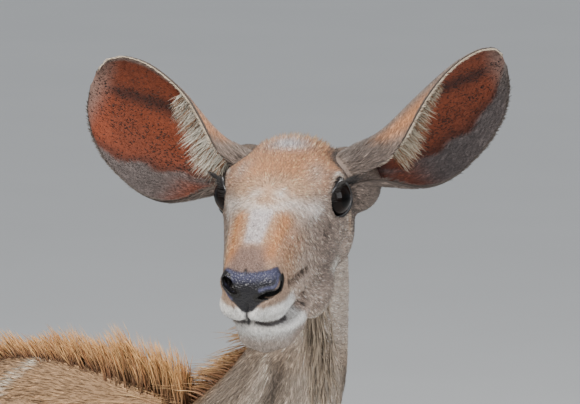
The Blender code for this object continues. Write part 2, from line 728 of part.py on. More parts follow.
def dewclaw(foot, outer, extra=0.0):
    """A small blunt claw behind the pastern."""
    stations = leg_stations(foot)
    centre, (wide, _, aft), along, left, top = station_frame(stations, len(stations) - 3.75)
    side = 1 if foot.endswith("left") else -1
    lean = side if outer else -side
    root = Vector(centre - top * aft * 0.60 + left * lean * wide * 0.42)
    tip = root - Vector(top) * 0.021 + Vector((0.0, 0.0, -0.016)) + Vector(left) * (lean * 0.004)
    axis = (tip - root).normalized()
    across = axis.orthogonal().normalized()
    other = axis.cross(across)
    rings = []
    for share, radius in ((-0.15, 0.0085), (0.55, 0.0082), (1.0, 0.0036)):
        spot = root.lerp(tip, share) + axis * (extra if share == 1.0 else 0.0)
        reach = radius + extra
        rings.append([
            spot + (across * math.cos(a) + other * math.sin(a)) * reach
            for a in (2 * math.pi * k / 7 for k in range(7))
        ])
    word = "outer" if outer else "inner"
    return rings_object(f"dewclaw_{foot}_{word}", rings)


# Cuts: each cutter holds one piece of the animal

NECK_CUT_TOP = Vector((0.222, 0.0, 1.215))
NECK_CUT_LOW = Vector((0.330, 0.0, 0.930))
THROAT_BACK = Vector((-0.128, 0.0, 0.045))
THROAT_FRONT = Vector((-0.066, 0.0, -0.122))
FORE_CUT = ((-0.030, 0.740), (0.240, 0.795))
HIND_CUT = ((-0.995, 0.905), (-0.485, 0.740))
TAIL_CUT_X = -0.900
LEG_INSIDE = 0.036


def slab(name, corners, half_width, middle=0.0):
    """A prism over an outline in the x, z plane."""
    rings = []
    for y in (middle - half_width, middle + half_width):
        rings.append([Vector((x, y, z)) for x, z in corners])
    return hexahedron(name, *rings)


def leg_cutter(foot):
    """Holds the free leg, from its cut through the body down to the coronet."""
    side = 1 if foot.endswith("left") else -1
    (x1, z1), (x2, z2) = FORE_CUT if foot.startswith("fore") else HIND_CUT
    low = [(x, coronet_z(foot, x)) for x in (x2 + 0.12, x1 - 0.12)]
    outline = [(x1, z1), (x2, z2), (x2 + 0.12, z2 - 0.06), low[0], low[1], (x1 - 0.12, z1 - 0.06)]
    rings = [
        [Vector((x, y, z)) for x, z in outline] for y in (LEG_INSIDE * side, 0.30 * side)
    ]
    return hexahedron(f"cut_{foot}", *rings)


def neck_cutter():
    """Holds neck and head, above a sloping plane through the neck's root."""
    line = NECK_CUT_LOW - NECK_CUT_TOP
    low = NECK_CUT_LOW + line
    over = NECK_CUT_TOP + Vector((0.004, 0, 0.20))
    outline = [over, NECK_CUT_TOP, low, Vector((1.20, 0, low.z)), Vector((1.20, 0, 2.0)), Vector((over.x, 0, 2.0))]
    return slab("cut_neck", [(p.x, p.z) for p in outline], 0.6)


def head_cutter():
    """Holds the head, ahead of a plane behind the jaw and ears, in the head's frame."""
    line = THROAT_FRONT - THROAT_BACK
    top, low = THROAT_BACK - line, THROAT_FRONT + line * 0.05
    outline = [top, low, Vector((0.40, 0, low.z)), Vector((0.40, 0, top.z))]
    made = slab("cut_head", [(p.x, p.z) for p in outline], 0.30)
    made.data.transform(head_matrix())
    return made


def tail_cutter():
    outline = [(TAIL_CUT_X, 1.30), (-1.35, 1.30), (-1.35, 0.55), (TAIL_CUT_X - 0.018, 0.55)]
    return slab("cut_tail", outline, 0.07)


def part_off(flesh, cutter, name):
    """Takes what the cutter holds out of the flesh, as an object of its own."""
    piece = copy_of(flesh, name)
    boolean(piece, cutter, "INTERSECT")
    keep_largest(piece)
    wider = grown(cutter, "wider", CUT_GAP)
    boolean(flesh, wider, "DIFFERENCE")
    keep_largest(flesh)
    bpy.data.objects.remove(wider)
    bpy.data.objects.remove(cutter)
    return piece


# Mane and other long hair, as flat locks that bend and taper


def lock(root, way, droop, across, length, width, thick, curl=0.0):
    """A flat tapered lock: it leaves along way and bends towards droop."""
    way, droop = Vector(way).normalized(), Vector(droop)
    across = Vector(across)
    across = (across - way * across.dot(way)).normalized()
    stops = ((-0.16, 0.80), (0.25, 1.0), (0.62, 0.88), (1.0, 0.24))
    rings = []
    for share, size in stops:
        bend = max(share, 0.0) ** 1.6
        spot = Vector(root) + way * (length * share) + droop * (length * bend * 0.5)
        spot += across * (curl * length * bend)
        facing = (way + droop * bend).normalized().cross(across).normalized()
        half, deep = across * (width / 2 * size), facing * (thick / 2 * size)
        rings.append([spot + half, spot + deep, spot - half, spot - deep])
    return rings_object("lock", rings)


def united(thing, pieces):
    """Fuses closed pieces into one node."""
    group = bpy.data.collections.new("to_fuse")
    for piece in pieces:
        group.objects.link(piece)
    applied(
        thing, "BOOLEAN", operation="UNION", operand_type="COLLECTION", collection=group,
        solver="MANIFOLD",
    )
    for piece in pieces:
        bpy.data.objects.remove(piece)
    bpy.data.collections.remove(group)
    keep_largest(thing)


def neck_locks():
    """The mane down the nape, and the short fringe of the throat."""
    draw = random.Random(11)
    made = []
    count = 22
    for k in range(count):
        t = 6.60 - 4.30 * k / (count - 1)
        for row in (-1, 1):
            place = t + 0.04 * row + draw.uniform(-0.03, 0.03)
            angle = math.radians(90 + 10 * row + draw.uniform(-4, 4))
            root = Vector(tube_point(NECK, place, angle))
            centre, _, along, left, _ = station_frame(NECK, place)
            out = (root - Vector(centre)).normalized()
            way = out * 0.95 - Vector(along) * 0.30 + Vector(left) * draw.uniform(-0.12, 0.12)
            length = (0.052 + 0.024 * k / count) * draw.uniform(0.85, 1.12)
            droop = Vector((0, 0, -0.30)) - Vector(along) * 0.35
            made.append(lock(root, way, droop, along, length, 0.030, 0.0065))
    for k in range(8):
        t = 5.55 - 0.17 * k
        root = Vector(tube_point(NECK, t, math.radians(-90 + draw.uniform(-12, 12))))
        centre, _, along, left, _ = station_frame(NECK, t)
        out = (root - Vector(centre)).normalized()
        way = out * 0.40 - Vector(along) * 0.85
        made.append(lock(root, way, -out * 0.2, left, 0.040, 0.014, 0.0045))
    return made


def withers_locks():
    """The crest over the withers and along the back, shorter towards the loins."""
    draw = random.Random(23)
    made = []
    count = 25
    for k in range(count):
        x = 0.195 - 0.72 * (k / (count - 1)) ** 1.08
        t = float(np.interp(x, [s[0] for s in TRUNK], range(len(TRUNK))))
        share = max(0.0, min(1.0, (0.05 - x) / 0.56))
        length = 0.072 * (1 - share) + 0.026 * share
        for row in (-1, 1) if k % 2 else (0,):
            angle = math.radians(90 + (5.0 - 2 * share) * row)
            root = Vector(tube_point(TRUNK, t, angle, 2.15))
            back = -0.90 * min(1.0, 0.10 + 2.2 * max(0.0, 0.195 - x))
            way = Vector((back, 0.14 * row, 1.0 - 0.35 * share))
            long = length * draw.uniform(0.88, 1.12)
            droop = Vector((-0.45, 0, -0.10))
            made.append(lock(root, way, droop, (1, 0, 0.2), long, 0.043 - 0.010 * share, 0.0065))
    return made


def tail_locks():
    """Flat hair down both sides of the tail, and the dark tuft at its end."""
    draw = random.Random(37)
    made = []
    for k in range(7):
        t = 2.0 + 2.7 * k / 6
        for side in (1, -1):
            angle = 0.0 if side > 0 else math.pi
            root = Vector(tube_point(TAIL, t, angle))
            way = Vector((0.02, 0.36 * side, -1.0))
            made.append(lock(root, way, (0, -0.25 * side, -0.1), (0, 1, 0.1), 0.075, 0.020, 0.0060))
    end = Vector(TAIL[-1][:3])
    for k in range(6):
        a = 2 * math.pi * k / 6
        way = Vector((0.18 * math.sin(a), 0.26 * math.cos(a), -1.0))
        root = end + Vector((0.003 * math.sin(a), 0.004 * math.cos(a), 0.010))
        made.append(lock(root, way, (0, 0, -0.1), (0, 1, 0), draw.uniform(0.075, 0.095), 0.017, 0.007))
    return made


def finish(thing, kind):
    thing.data.materials.clear()
    thing.data.materials.append(material(kind))
    for face in thing.data.polygons:
        face.use_smooth = True
        face.material_index = 0
    thing.data.set_sharp_from_angle(angle=math.radians(50))


def socketed(thing, piece):
    """Cuts room for a piece, with its gap, out of what it grows from."""
    room = grown(piece, "room", CUT_GAP)
    boolean(thing, room, "DIFFERENCE")
    bpy.data.objects.remove(room)
    keep_largest(thing)


def build():
    clear_scene()
    flesh = body_flesh()
    thinned(flesh, FLESH_TRIANGLES)
    united(flesh, neck_locks() + withers_locks() + tail_locks())
    face = head_flesh()
    thinned(face, HEAD_TRIANGLES)
    head = part_off(face, head_cutter(), "head")
    bpy.data.objects.remove(face)
    bpy.data.objects.remove(part_off(flesh, head_cutter(), "plain_head"))
    neck = part_off(flesh, neck_cutter(), "neck")
    legs = {foot: part_off(flesh, leg_cutter(foot), f"leg_{foot}") for foot in STEPS}
    tail = part_off(flesh, tail_cutter(), "tail")
    flesh.name = "torso"

    for side in (1, -1):
        cut_eye(head, side)
        finish(make_eye(side), "eye")
        ear = make_ear(side)
        socketed(head, ear)
        finish(ear, "ear")
    for foot, leg in legs.items():
        for outer in (True, False):
            claw = dewclaw(foot, outer)
            socketed(leg, claw)
            finish(claw, "hoof")
            finish(make_claw(foot, outer), "hoof")
        finish(leg, "coat")

    finish(head, "coat")
    finish(neck, "mane")
    finish(flesh, "coat")
    finish(tail, "coat")
    settle()


def settle():
    """Moves the whole animal so that its origin is under the middle of its box."""
    low, high = [1e9] * 3, [-1e9] * 3
    for thing in bpy.data.objects:
        for vert in thing.data.vertices:
            for k in range(3):
                low[k] = min(low[k], vert.co[k])
                high[k] = max(high[k], vert.co[k])
    move = Vector((-(low[0] + high[0]) / 2, -(low[1] + high[1]) / 2, -low[2]))
    for thing in bpy.data.objects:
        thing.data.transform(Matrix.Translation(move))


build()
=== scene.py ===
import math

import bmesh
import bpy
import numpy as np
from mathutils import Matrix, Vector
from mathutils.bvhtree import BVHTree


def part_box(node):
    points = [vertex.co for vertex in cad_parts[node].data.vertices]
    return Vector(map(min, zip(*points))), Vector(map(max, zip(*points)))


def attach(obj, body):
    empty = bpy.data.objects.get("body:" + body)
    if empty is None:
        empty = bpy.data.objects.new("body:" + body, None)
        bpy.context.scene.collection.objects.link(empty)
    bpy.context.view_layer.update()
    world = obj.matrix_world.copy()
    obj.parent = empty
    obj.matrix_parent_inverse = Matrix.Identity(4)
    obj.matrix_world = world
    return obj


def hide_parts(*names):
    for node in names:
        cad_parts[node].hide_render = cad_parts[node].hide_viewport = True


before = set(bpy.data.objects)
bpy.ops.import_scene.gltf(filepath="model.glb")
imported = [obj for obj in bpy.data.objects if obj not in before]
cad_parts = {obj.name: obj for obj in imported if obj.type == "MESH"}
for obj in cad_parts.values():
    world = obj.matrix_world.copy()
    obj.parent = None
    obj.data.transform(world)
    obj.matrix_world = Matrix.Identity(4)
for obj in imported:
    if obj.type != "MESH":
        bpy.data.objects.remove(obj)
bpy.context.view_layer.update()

bpy.ops.object.select_all(action="DESELECT")
print("frame loaded")

# Lengths are metres. The shapes repeat the sizes of the solids, in the body's frame:
# x to the chest, y to the animal's left, z up. The head has a frame of its own, with
# its origin midway between the eyes, x to the muzzle and z to the forehead.

pose = {
    "headPlace": Vector((0.530, -0.123, 1.49)),
    "headTurn": -54.0,
    "headDrop": 19.4,
    "eyeRadius": 0.0222,
    "eyeCentre": Vector((-0.002, 0.0550, 0.001)),
    "eyeGaze": Vector((0.45, 0.88, 0.10)).normalized(),
}


def headInBody():
    turn = Matrix.Rotation(math.radians(pose["headTurn"]), 4, "Z")
    return (Matrix.Translation(pose["headPlace"]) @ turn
            @ Matrix.Rotation(math.radians(pose["headDrop"]), 4, "Y"))


def eyeCentre(side):
    c = pose["eyeCentre"]
    return Vector((c.x, c.y * side, c.z))


def eyeGaze(side):
    g = pose["eyeGaze"]
    return Vector((g.x, g.y * side, g.z))


eyeLow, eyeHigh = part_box("eye_left")
shift = (Vector(eyeLow) + Vector(eyeHigh)) / 2 - headInBody() @ eyeCentre(1)
bodyMatrix = Matrix.Translation(shift)
headMatrix = bodyMatrix @ headInBody()
headTurnArray = np.array(headMatrix.to_3x3())
headPlaceArray = np.array(headMatrix.translation)
shiftArray = np.array(shift)


def toBody(points):
    return points - shiftArray


def toHead(points):
    return (points - headPlaceArray) @ headTurnArray


def fromHead(ways):
    return ways @ headTurnArray.T


def sideWord(side):
    return "Left" if side > 0 else "Right"


def unit(ways):
    return ways / (np.linalg.norm(ways, axis=-1, keepdims=True) + 1e-12)


def ramp(value, low, high):
    s = np.clip((value - low) / (high - low), 0.0, 1.0)
    return s * s * (3 - 2 * s)


def hump(value, middle, half):
    return np.exp(-(((value - middle) / half) ** 2))


def paint(red, green, blue):
    # a colour as a screen shows it, 0 to 255, made linear
    c = np.array((red, green, blue)) / 255.0
    return np.where(c <= 0.04045, c / 12.92, ((c + 0.055) / 1.055) ** 2.4)


def curveAt(knots, at):
    knots = np.array(knots, float)
    x, y = knots[:, 0], knots[:, 1:]
    slope = np.empty_like(y)
    step = np.diff(x)[:, None]
    rise = np.diff(y, axis=0) / step
    slope[0], slope[-1] = rise[0], rise[-1]
    slope[1:-1] = (rise[:-1] * step[1:] + rise[1:] * step[:-1]) / (step[:-1] + step[1:])
    at = np.clip(np.atleast_1d(np.asarray(at, float)), x[0], x[-1])
    i = np.clip(np.searchsorted(x, at, side="right") - 1, 0, len(x) - 2)
    h = (x[i + 1] - x[i])[:, None]
    u = ((at - x[i])[:, None]) / h
    return (
        y[i] * (2 * u**3 - 3 * u**2 + 1)
        + slope[i] * h * (u**3 - 2 * u**2 + u)
        + y[i + 1] * (3 * u**2 - 2 * u**3)
        + slope[i + 1] * h * (u**3 - u**2)
    )


def valueAt(knots, at):
    return curveAt(knots, at)[:, 0]


# Mesh helpers


def meshObject(name, points, faces):
    data = bpy.data.meshes.new(name)
    data.from_pydata([tuple(map(float, p)) for p in points], [], faces)
    made = bpy.data.objects.new(name, data)
    bpy.context.scene.collection.objects.link(made)
    return made


def outward(thing):
    work = bmesh.new()
    work.from_mesh(thing.data)
    bmesh.ops.recalc_face_normals(work, faces=work.faces)
    if work.calc_volume(signed=True) < 0:
        bmesh.ops.reverse_faces(work, faces=work.faces)
    work.to_mesh(thing.data)
    work.free()


def ringsObject(name, rings):
    count = len(rings[0])
    points = [p for ring in rings for p in ring]
    faces = [tuple(reversed(range(count)))]
    for r in range(len(rings) - 1):
        for k in range(count):
            a, b = r * count + k, r * count + (k + 1) % count
            faces.append((a, b, b + count, a + count))
    last = (len(rings) - 1) * count
    faces.append(tuple(range(last, last + count)))
    made = meshObject(name, points, faces)
    outward(made)
    return made


def applied(thing, kind, **settings):
    modifier = thing.modifiers.new(kind.title(), kind)
    for key, value in settings.items():
        setattr(modifier, key, value)
    bpy.ops.object.select_all(action="DESELECT")
    thing.select_set(True)
    bpy.context.view_layer.objects.active = thing
    bpy.ops.object.modifier_apply(modifier=modifier.name)


def joined(name, pieces):
    bpy.ops.object.select_all(action="DESELECT")
    for piece in pieces:
        piece.select_set(True)
    bpy.context.view_layer.objects.active = pieces[0]
    bpy.ops.object.join()
    made = bpy.context.object
    made.name = name
    made.data.name = name
    return made


def pointsOf(thing):
    flat = np.empty(len(thing.data.vertices) * 3, np.float32)
    thing.data.vertices.foreach_get("co", flat)
    return flat.reshape(-1, 3).astype(float)


def normalsOf(thing):
    flat = np.empty(len(thing.data.vertices) * 3, np.float32)
    thing.data.vertices.foreach_get("normal", flat)
    return flat.reshape(-1, 3).astype(float)


def setPoints(thing, points):
    thing.data.vertices.foreach_set("co", points.astype(np.float32).ravel())
    thing.data.update()


def smoothed(thing):
    thing.data.polygons.foreach_set("use_smooth", np.ones(len(thing.data.polygons), bool))


def blob(name, centre, radii, turn=(0.0, 0.0, 0.0), matrix=None):
    bpy.ops.mesh.primitive_uv_sphere_add(segments=40, ring_count=24, radius=1.0)
    made = bpy.context.object
    made.name = name
    spin = Matrix.Rotation(math.radians(turn[2]), 4, "Z")
    spin = spin @ Matrix.Rotation(math.radians(turn[1]), 4, "Y")
    spin = spin @ Matrix.Rotation(math.radians(turn[0]), 4, "X")
    place = Matrix.Translation(centre) @ spin @ Matrix.Diagonal((*radii, 1.0))
    made.data.transform(matrix @ place if matrix else place)
    return made


# Tables of stations: centre x, y, z, half width, reach to front or top, reach to back or
# underside, and the turn of the front about z in degrees

trunkStations = [
    (-0.940, 0, 1.000, 0.020, 0.030, 0.040, 0), (-0.910, 0, 0.995, 0.072, 0.095, 0.115, 0),
    (-0.860, 0, 0.990, 0.108, 0.150, 0.160, 0), (-0.785, 0, 0.980, 0.134, 0.196, 0.190, 0),
    (-0.670, 0, 0.970, 0.146, 0.222, 0.200, 0), (-0.525, 0, 0.965, 0.148, 0.218, 0.188, 0),
    (-0.385, 0, 0.955, 0.162, 0.222, 0.206, 0), (-0.245, 0, 0.950, 0.167, 0.236, 0.220, 0),
    (-0.110, 0, 0.955, 0.160, 0.262, 0.226, 0), (0.000, 0, 0.960, 0.146, 0.275, 0.220, 0),
    (0.110, 0, 0.960, 0.130, 0.266, 0.198, 0), (0.205, 0, 0.955, 0.102, 0.245, 0.158, 0),
    (0.275, 0, 0.945, 0.068, 0.160, 0.105, 0), (0.318, 0, 0.950, 0.022, 0.050, 0.045, 0),
]
neckStations = [
    (0.040, 0, 0.965, 0.110, 0.190, 0.170, 0), (0.145, 0, 1.005, 0.102, 0.155, 0.165, 0),
    (0.250, 0.001, 1.085, 0.084, 0.114, 0.132, -3), (0.335, 0.010, 1.172, 0.066, 0.091, 0.102, -9),
    (0.392, 0.020, 1.260, 0.054, 0.075, 0.078, -17), (0.424, 0.011, 1.345, 0.048, 0.067, 0.064, -29),
    (0.447, -0.010, 1.425, 0.046, 0.060, 0.057, -42), (0.4645, -0.033, 1.495, 0.044, 0.046, 0.046, -52),
]
foreStations = [
    (0.110, 0.106, 0.930, 0.048, 0.100, 0.105, 0), (0.096, 0.112, 0.810, 0.046, 0.074, 0.084, 0),
    (0.084, 0.111, 0.720, 0.037, 0.049, 0.053, 0), (0.082, 0.107, 0.610, 0.031, 0.036, 0.037, 0),
    (0.083, 0.102, 0.500, 0.0255, 0.028, 0.028, 0), (0.085, 0.099, 0.430, 0.0265, 0.029, 0.027, 0),
    (0.087, 0.098, 0.392, 0.0275, 0.030, 0.025, 0), (0.084, 0.097, 0.350, 0.0220, 0.023, 0.023, 0),
    (0.083, 0.096, 0.290, 0.0170, 0.016, 0.019, 0), (0.083, 0.095, 0.200, 0.0165, 0.016, 0.019, 0),
    (0.084, 0.095, 0.155, 0.0205, 0.020, 0.024, 0), (0.090, 0.095, 0.124, 0.0215, 0.020, 0.023, 0),
    (0.103, 0.095, 0.090, 0.0215, 0.019, 0.021, 0), (0.118, 0.095, 0.056, 0.0260, 0.023, 0.024, 0),
    (0.130, 0.095, 0.030, 0.0260, 0.023, 0.024, 0),
]
hindStations = [
    (-0.710, 0.080, 0.990, 0.064, 0.140, 0.130, 0), (-0.690, 0.096, 0.870, 0.058, 0.125, 0.125, 0),
    (-0.667, 0.104, 0.775, 0.047, 0.084, 0.100, 0), (-0.675, 0.104, 0.705, 0.040, 0.060, 0.074, 0),
    (-0.719, 0.101, 0.635, 0.032, 0.045, 0.050, 0), (-0.773, 0.098, 0.568, 0.0265, 0.034, 0.036, 0),
    (-0.813, 0.096, 0.512, 0.0260, 0.032, 0.030, 0), (-0.820, 0.095, 0.455, 0.0240, 0.027, 0.027, 0),
    (-0.811, 0.094, 0.380, 0.0190, 0.019, 0.021, 0), (-0.799, 0.093, 0.280, 0.0175, 0.017, 0.020, 0),
    (-0.789, 0.092, 0.200, 0.0175, 0.017, 0.020, 0), (-0.781, 0.092, 0.155, 0.0210, 0.020, 0.025, 0),
    (-0.773, 0.092, 0.124, 0.0215, 0.020, 0.023, 0), (-0.758, 0.092, 0.090, 0.0215, 0.019, 0.021, 0),
    (-0.741, 0.092, 0.056, 0.0260, 0.023, 0.024, 0), (-0.728, 0.092, 0.030, 0.0260, 0.023, 0.024, 0),
]
tailStations = [
    (-0.870, 0, 1.090, 0.030, 0.030, 0.030, 0), (-0.917, 0, 1.060, 0.024, 0.022, 0.022, 0),
    (-0.947, 0, 0.990, 0.020, 0.016, 0.016, 0), (-0.955, 0, 0.900, 0.017, 0.013, 0.013, 0),
    (-0.953, 0, 0.815, 0.013, 0.010, 0.010, 0), (-0.947, 0, 0.745, 0.008, 0.007, 0.007, 0),
]
tendonLine = [
    (-0.748, 0.101, 0.680, 0.016, 0.020, 0.020, 0), (-0.803, 0.099, 0.612, 0.013, 0.014, 0.014, 0),
    (-0.844, 0.097, 0.556, 0.0145, 0.015, 0.015, 0), (-0.846, 0.096, 0.525, 0.0150, 0.016, 0.014, 0),
    (-0.835, 0.095, 0.460, 0.0130, 0.014, 0.012, 0),
]
steps = {"fore_left": 0.050, "fore_right": -0.030, "hind_left": -0.055, "hind_right": 0.060}


def stationFrame(stations, t):
    table = np.array(stations, float)
    knots = np.column_stack([np.arange(len(table)), table])
    here = curveAt(knots, t)[0]
    ahead, behind = curveAt(knots, min(t + 0.02, len(table) - 1))[0], curveAt(knots, max(t - 0.02, 0))[0]
    along = ahead[:3] - behind[:3]
    along /= np.linalg.norm(along)
    turn = math.radians(here[6])
    left = np.array([-math.sin(turn), math.cos(turn), 0.0])
    left -= along * (left @ along)
    left /= np.linalg.norm(left)
    return here[:3], here[3:6], along, left, np.cross(along, left)


def tubePoint(stations, t, angle, power=2.0):
    centre, (wide, fore, aft), _, left, top = stationFrame(stations, t)
    c, s = math.cos(angle), math.sin(angle)
    across = wide * math.copysign(abs(c) ** (2 / power), c)
    up = (fore if s > 0 else aft) * math.copysign(abs(s) ** (2 / power), s)
    return centre + across * left + up * top


def tube(name, stations, sides=40, ringsEach=6, power=2.0):
    count = (len(stations) - 1) * ringsEach + 1
    rings = []
    for r in range(count):
        centre, (wide, fore, aft), _, left, top = stationFrame(stations, r / ringsEach)
        a = np.arange(sides) * 2 * math.pi / sides
        c, s = np.cos(a), np.sin(a)
        across = wide * np.sign(c) * np.abs(c) ** (2 / power)
        up = np.where(s > 0, fore, aft) * np.sign(s) * np.abs(s) ** (2 / power)
        rings.append(list(centre + across[:, None] * left + up[:, None] * top))
    return ringsObject(name, rings)


def mirrored(table, side):
    return [(x, y * side, z, *rest) for x, y, z, *rest in table]


def stepped(stations, step, top=0.80):
    return [(x + step * min(1.0, max(0.0, (top - z) / top)), y, z, *rest) for x, y, z, *rest in stations]


def legStations(foot):
    plain = foreStations if foot.startswith("fore") else hindStations
    return mirrored(stepped(plain, steps[foot]), 1 if foot.endswith("left") else -1)


def muscles(side):
    return [
        blob("shoulder", (0.075, 0.090 * side, 1.010), (0.092, 0.046, 0.195), (0, -16, 0)),
        blob("upperArm", (0.100, 0.099 * side, 0.880), (0.095, 0.044, 0.130), (0, 14, 0)),
        blob("haunch", (-0.725, 0.082 * side, 0.965), (0.140, 0.066, 0.200), (0, 10, 0)),
        blob("hip", (-0.600, 0.076 * side, 1.095), (0.080, 0.050, 0.060), (0, 8, 0)),
        blob("stifle", (-0.642, 0.100 * side, 0.815), (0.052, 0.036, 0.095), (0, -20, 0)),
    ]


# Head

crownLine = [(-0.135, -0.030), (-0.115, 0.008), (-0.090, 0.028), (-0.060, 0.039), (-0.025, 0.0450)]
crownLine += [(0.010, 0.0450), (0.060, 0.0405), (0.110, 0.0345), (0.155, 0.0275), (0.185, 0.0200)]
crownLine += [(0.200, 0.0110), (0.2085, -0.0040)]
chinLine = [(-0.135, -0.060), (-0.110, -0.088), (-0.070, -0.107), (-0.030, -0.112), (0.020, -0.107)]
chinLine += [(0.070, -0.097), (0.115, -0.091), (0.150, -0.092), (0.175, -0.0940), (0.192, -0.085)]
chinLine += [(0.202, -0.064), (0.2085, -0.040)]
browLine = [(-0.135, 0.022, -0.030), (-0.110, 0.038, 0.000), (-0.080, 0.049, 0.014)]
browLine += [(-0.040, 0.053, 0.027), (0.000, 0.054, 0.031), (0.040, 0.043, 0.029)]
browLine += [(0.080, 0.034, 0.0240), (0.120, 0.0300, 0.0195), (0.165, 0.0310, 0.0125)]
browLine += [(0.190, 0.0290, 0.0050), (0.2085, 0.0180, -0.0090)]
cheekLine = [(-0.135, 0.028, -0.045), (-0.110, 0.046, -0.034), (-0.080, 0.060, -0.024)]
cheekLine += [(-0.040, 0.068, -0.014), (0.000, 0.067, -0.014), (0.040, 0.060, -0.026)]
cheekLine += [(0.080, 0.052, -0.032), (0.120, 0.046, -0.033), (0.165, 0.040, -0.032)]
cheekLine += [(0.190, 0.0345, -0.030), (0.2085, 0.0220, -0.0240)]
jawLine = [(-0.135, 0.022, -0.055), (-0.110, 0.037, -0.072), (-0.070, 0.047, -0.087)]
jawLine += [(-0.030, 0.049, -0.092), (0.020, 0.047, -0.086), (0.070, 0.043, -0.079)]
jawLine += [(0.120, 0.039, -0.075), (0.165, 0.036, -0.077), (0.188, 0.0280, -0.071)]
jawLine += [(0.2085, 0.0150, -0.0380)]


def headRing(x, sides):
    top, low = curveAt(crownLine, x)[0][0], curveAt(chinLine, x)[0][0]
    brow, cheek, jaw = (curveAt(line, x)[0] for line in (browLine, cheekLine, jawLine))
    half = [(0.0, top), tuple(brow), tuple(cheek), tuple(jaw), (0.0, low)]
    loop = half + [(-y, z) for y, z in half[-2:0:-1]]
    closed = np.array(loop[-2:] + loop + loop[:3])
    knots = np.column_stack([np.arange(-2, len(loop) + 3), closed])
    outline = curveAt(knots, np.arange(sides) * len(loop) / sides)
    return [(x, y, z) for y, z in outline]


def headPieces():
    stops = np.linspace(crownLine[0][0], crownLine[-1][0], 80)
    core = ringsObject("headCore", [headRing(x, 64) for x in stops])
    core.data.transform(headInBody())
    pieces = [core, blob("fullCheek", (0.062, 0.036, -0.076), (0.050, 0.022, 0.028), matrix=headInBody())]
    for side in (1, -1):
        eye = eyeCentre(side)
        lid = pose["eyeRadius"] + 0.0026
        for centre, radii, turn in (
            (eye, (lid, lid, lid), (0, 0, 0)),
            (eye + Vector((-0.003, -0.002 * side, 0.017)), (0.030, 0.014, 0.012), (0, 0, -8 * side)),
            ((-0.040, 0.050 * side, -0.055), (0.050, 0.017, 0.038), (0, 0, 0)),
            ((0.180, 0.020 * side, -0.035), (0.026, 0.022, 0.013), (0, 0, 0)),
            ((0.174, 0.016 * side, -0.070), (0.022, 0.019, 0.019), (0, 0, 0)),
            ((0.188, 0.026 * side, -0.005), (0.015, 0.011, 0.014), (0, 0, 0)),
            ((-0.088, 0.056 * side, -0.011), (0.030, 0.031, 0.031), (0, 0, 0)),
            ((-0.084, 0.060 * side + 0.004, -0.014 - 0.009 * (side > 0)), (0.032, 0.031, 0.034), (0, 0, 0)),
        ):
            pieces.append(blob("swelling", centre, radii, turn, headInBody()))
    return pieces


face = {
    "mouthFront": (0.205, 0.0, -0.045), "mouthCorner": (0.128, 0.047, -0.053),
    "jawSwing": (0.0, 0.011, -0.003),
    "nostril": {
        1: [(0.186, 0.0325, -0.0050), (0.191, 0.0315, -0.0085), (0.197, 0.0275, -0.0112),
            (0.203, 0.0210, -0.0130),
            (0.2075, 0.0135, -0.0140)],
        -1: [(0.194, -0.0228, 0.0010), (0.198, -0.0215, -0.0015), (0.202, -0.0185, -0.0042),
             (0.206, -0.0140, -0.0068),
             (0.208, -0.0095, -0.0090)],
    },
    "muzzleNarrow": 0.15, "cheekFull": 0.0035, "mouthLine": None, "crease": {},
}


def mouthPath(count=40):
    front, corner = np.array(face["mouthFront"]), np.array(face["mouthCorner"])
    share = np.abs(np.linspace(-1, 1, 2 * count + 1))
    side = np.sign(np.linspace(-1, 1, 2 * count + 1))
    x = front[0] + (corner[0] - front[0]) * share**1.7
    y = corner[1] * np.sin(share * math.pi / 2) * side
    z = front[2] + (corner[2] - front[2]) * share
    return np.column_stack([x, y, z])


def densePath(path, count=40):
    path = np.array(path, float)
    return curveAt(np.column_stack([np.arange(len(path)), path]), np.linspace(0, len(path) - 1, count))


def carve(points, normals, path, width, depth, taper=0.0, way=None):
    # sinks a groove, or raises a ridge where depth is below zero, along a path
    gaps = np.linalg.norm(points[:, None, :] - path[None, :, :], axis=2)
    near = gaps.argmin(1)
    share = near / (len(path) - 1)
    fade = np.sin(math.pi * np.clip(share, 0.02, 0.98)) ** taper if taper else 1.0
    weight = np.exp(-((gaps.min(1) / width) ** 2)) * fade * depth
    return points - (normals if way is None else np.array(way)) * weight[:, None]


def snapped(points, path):
    # a path laid on the nearest points of the surface, and evened out
    near = points[np.linalg.norm(points[:, None, :] - path[None, :, :], axis=2).argmin(0)]
    for _ in range(3):
        near[1:-1] = (near[:-2] + 2 * near[1:-1] + near[2:]) / 4
    return near


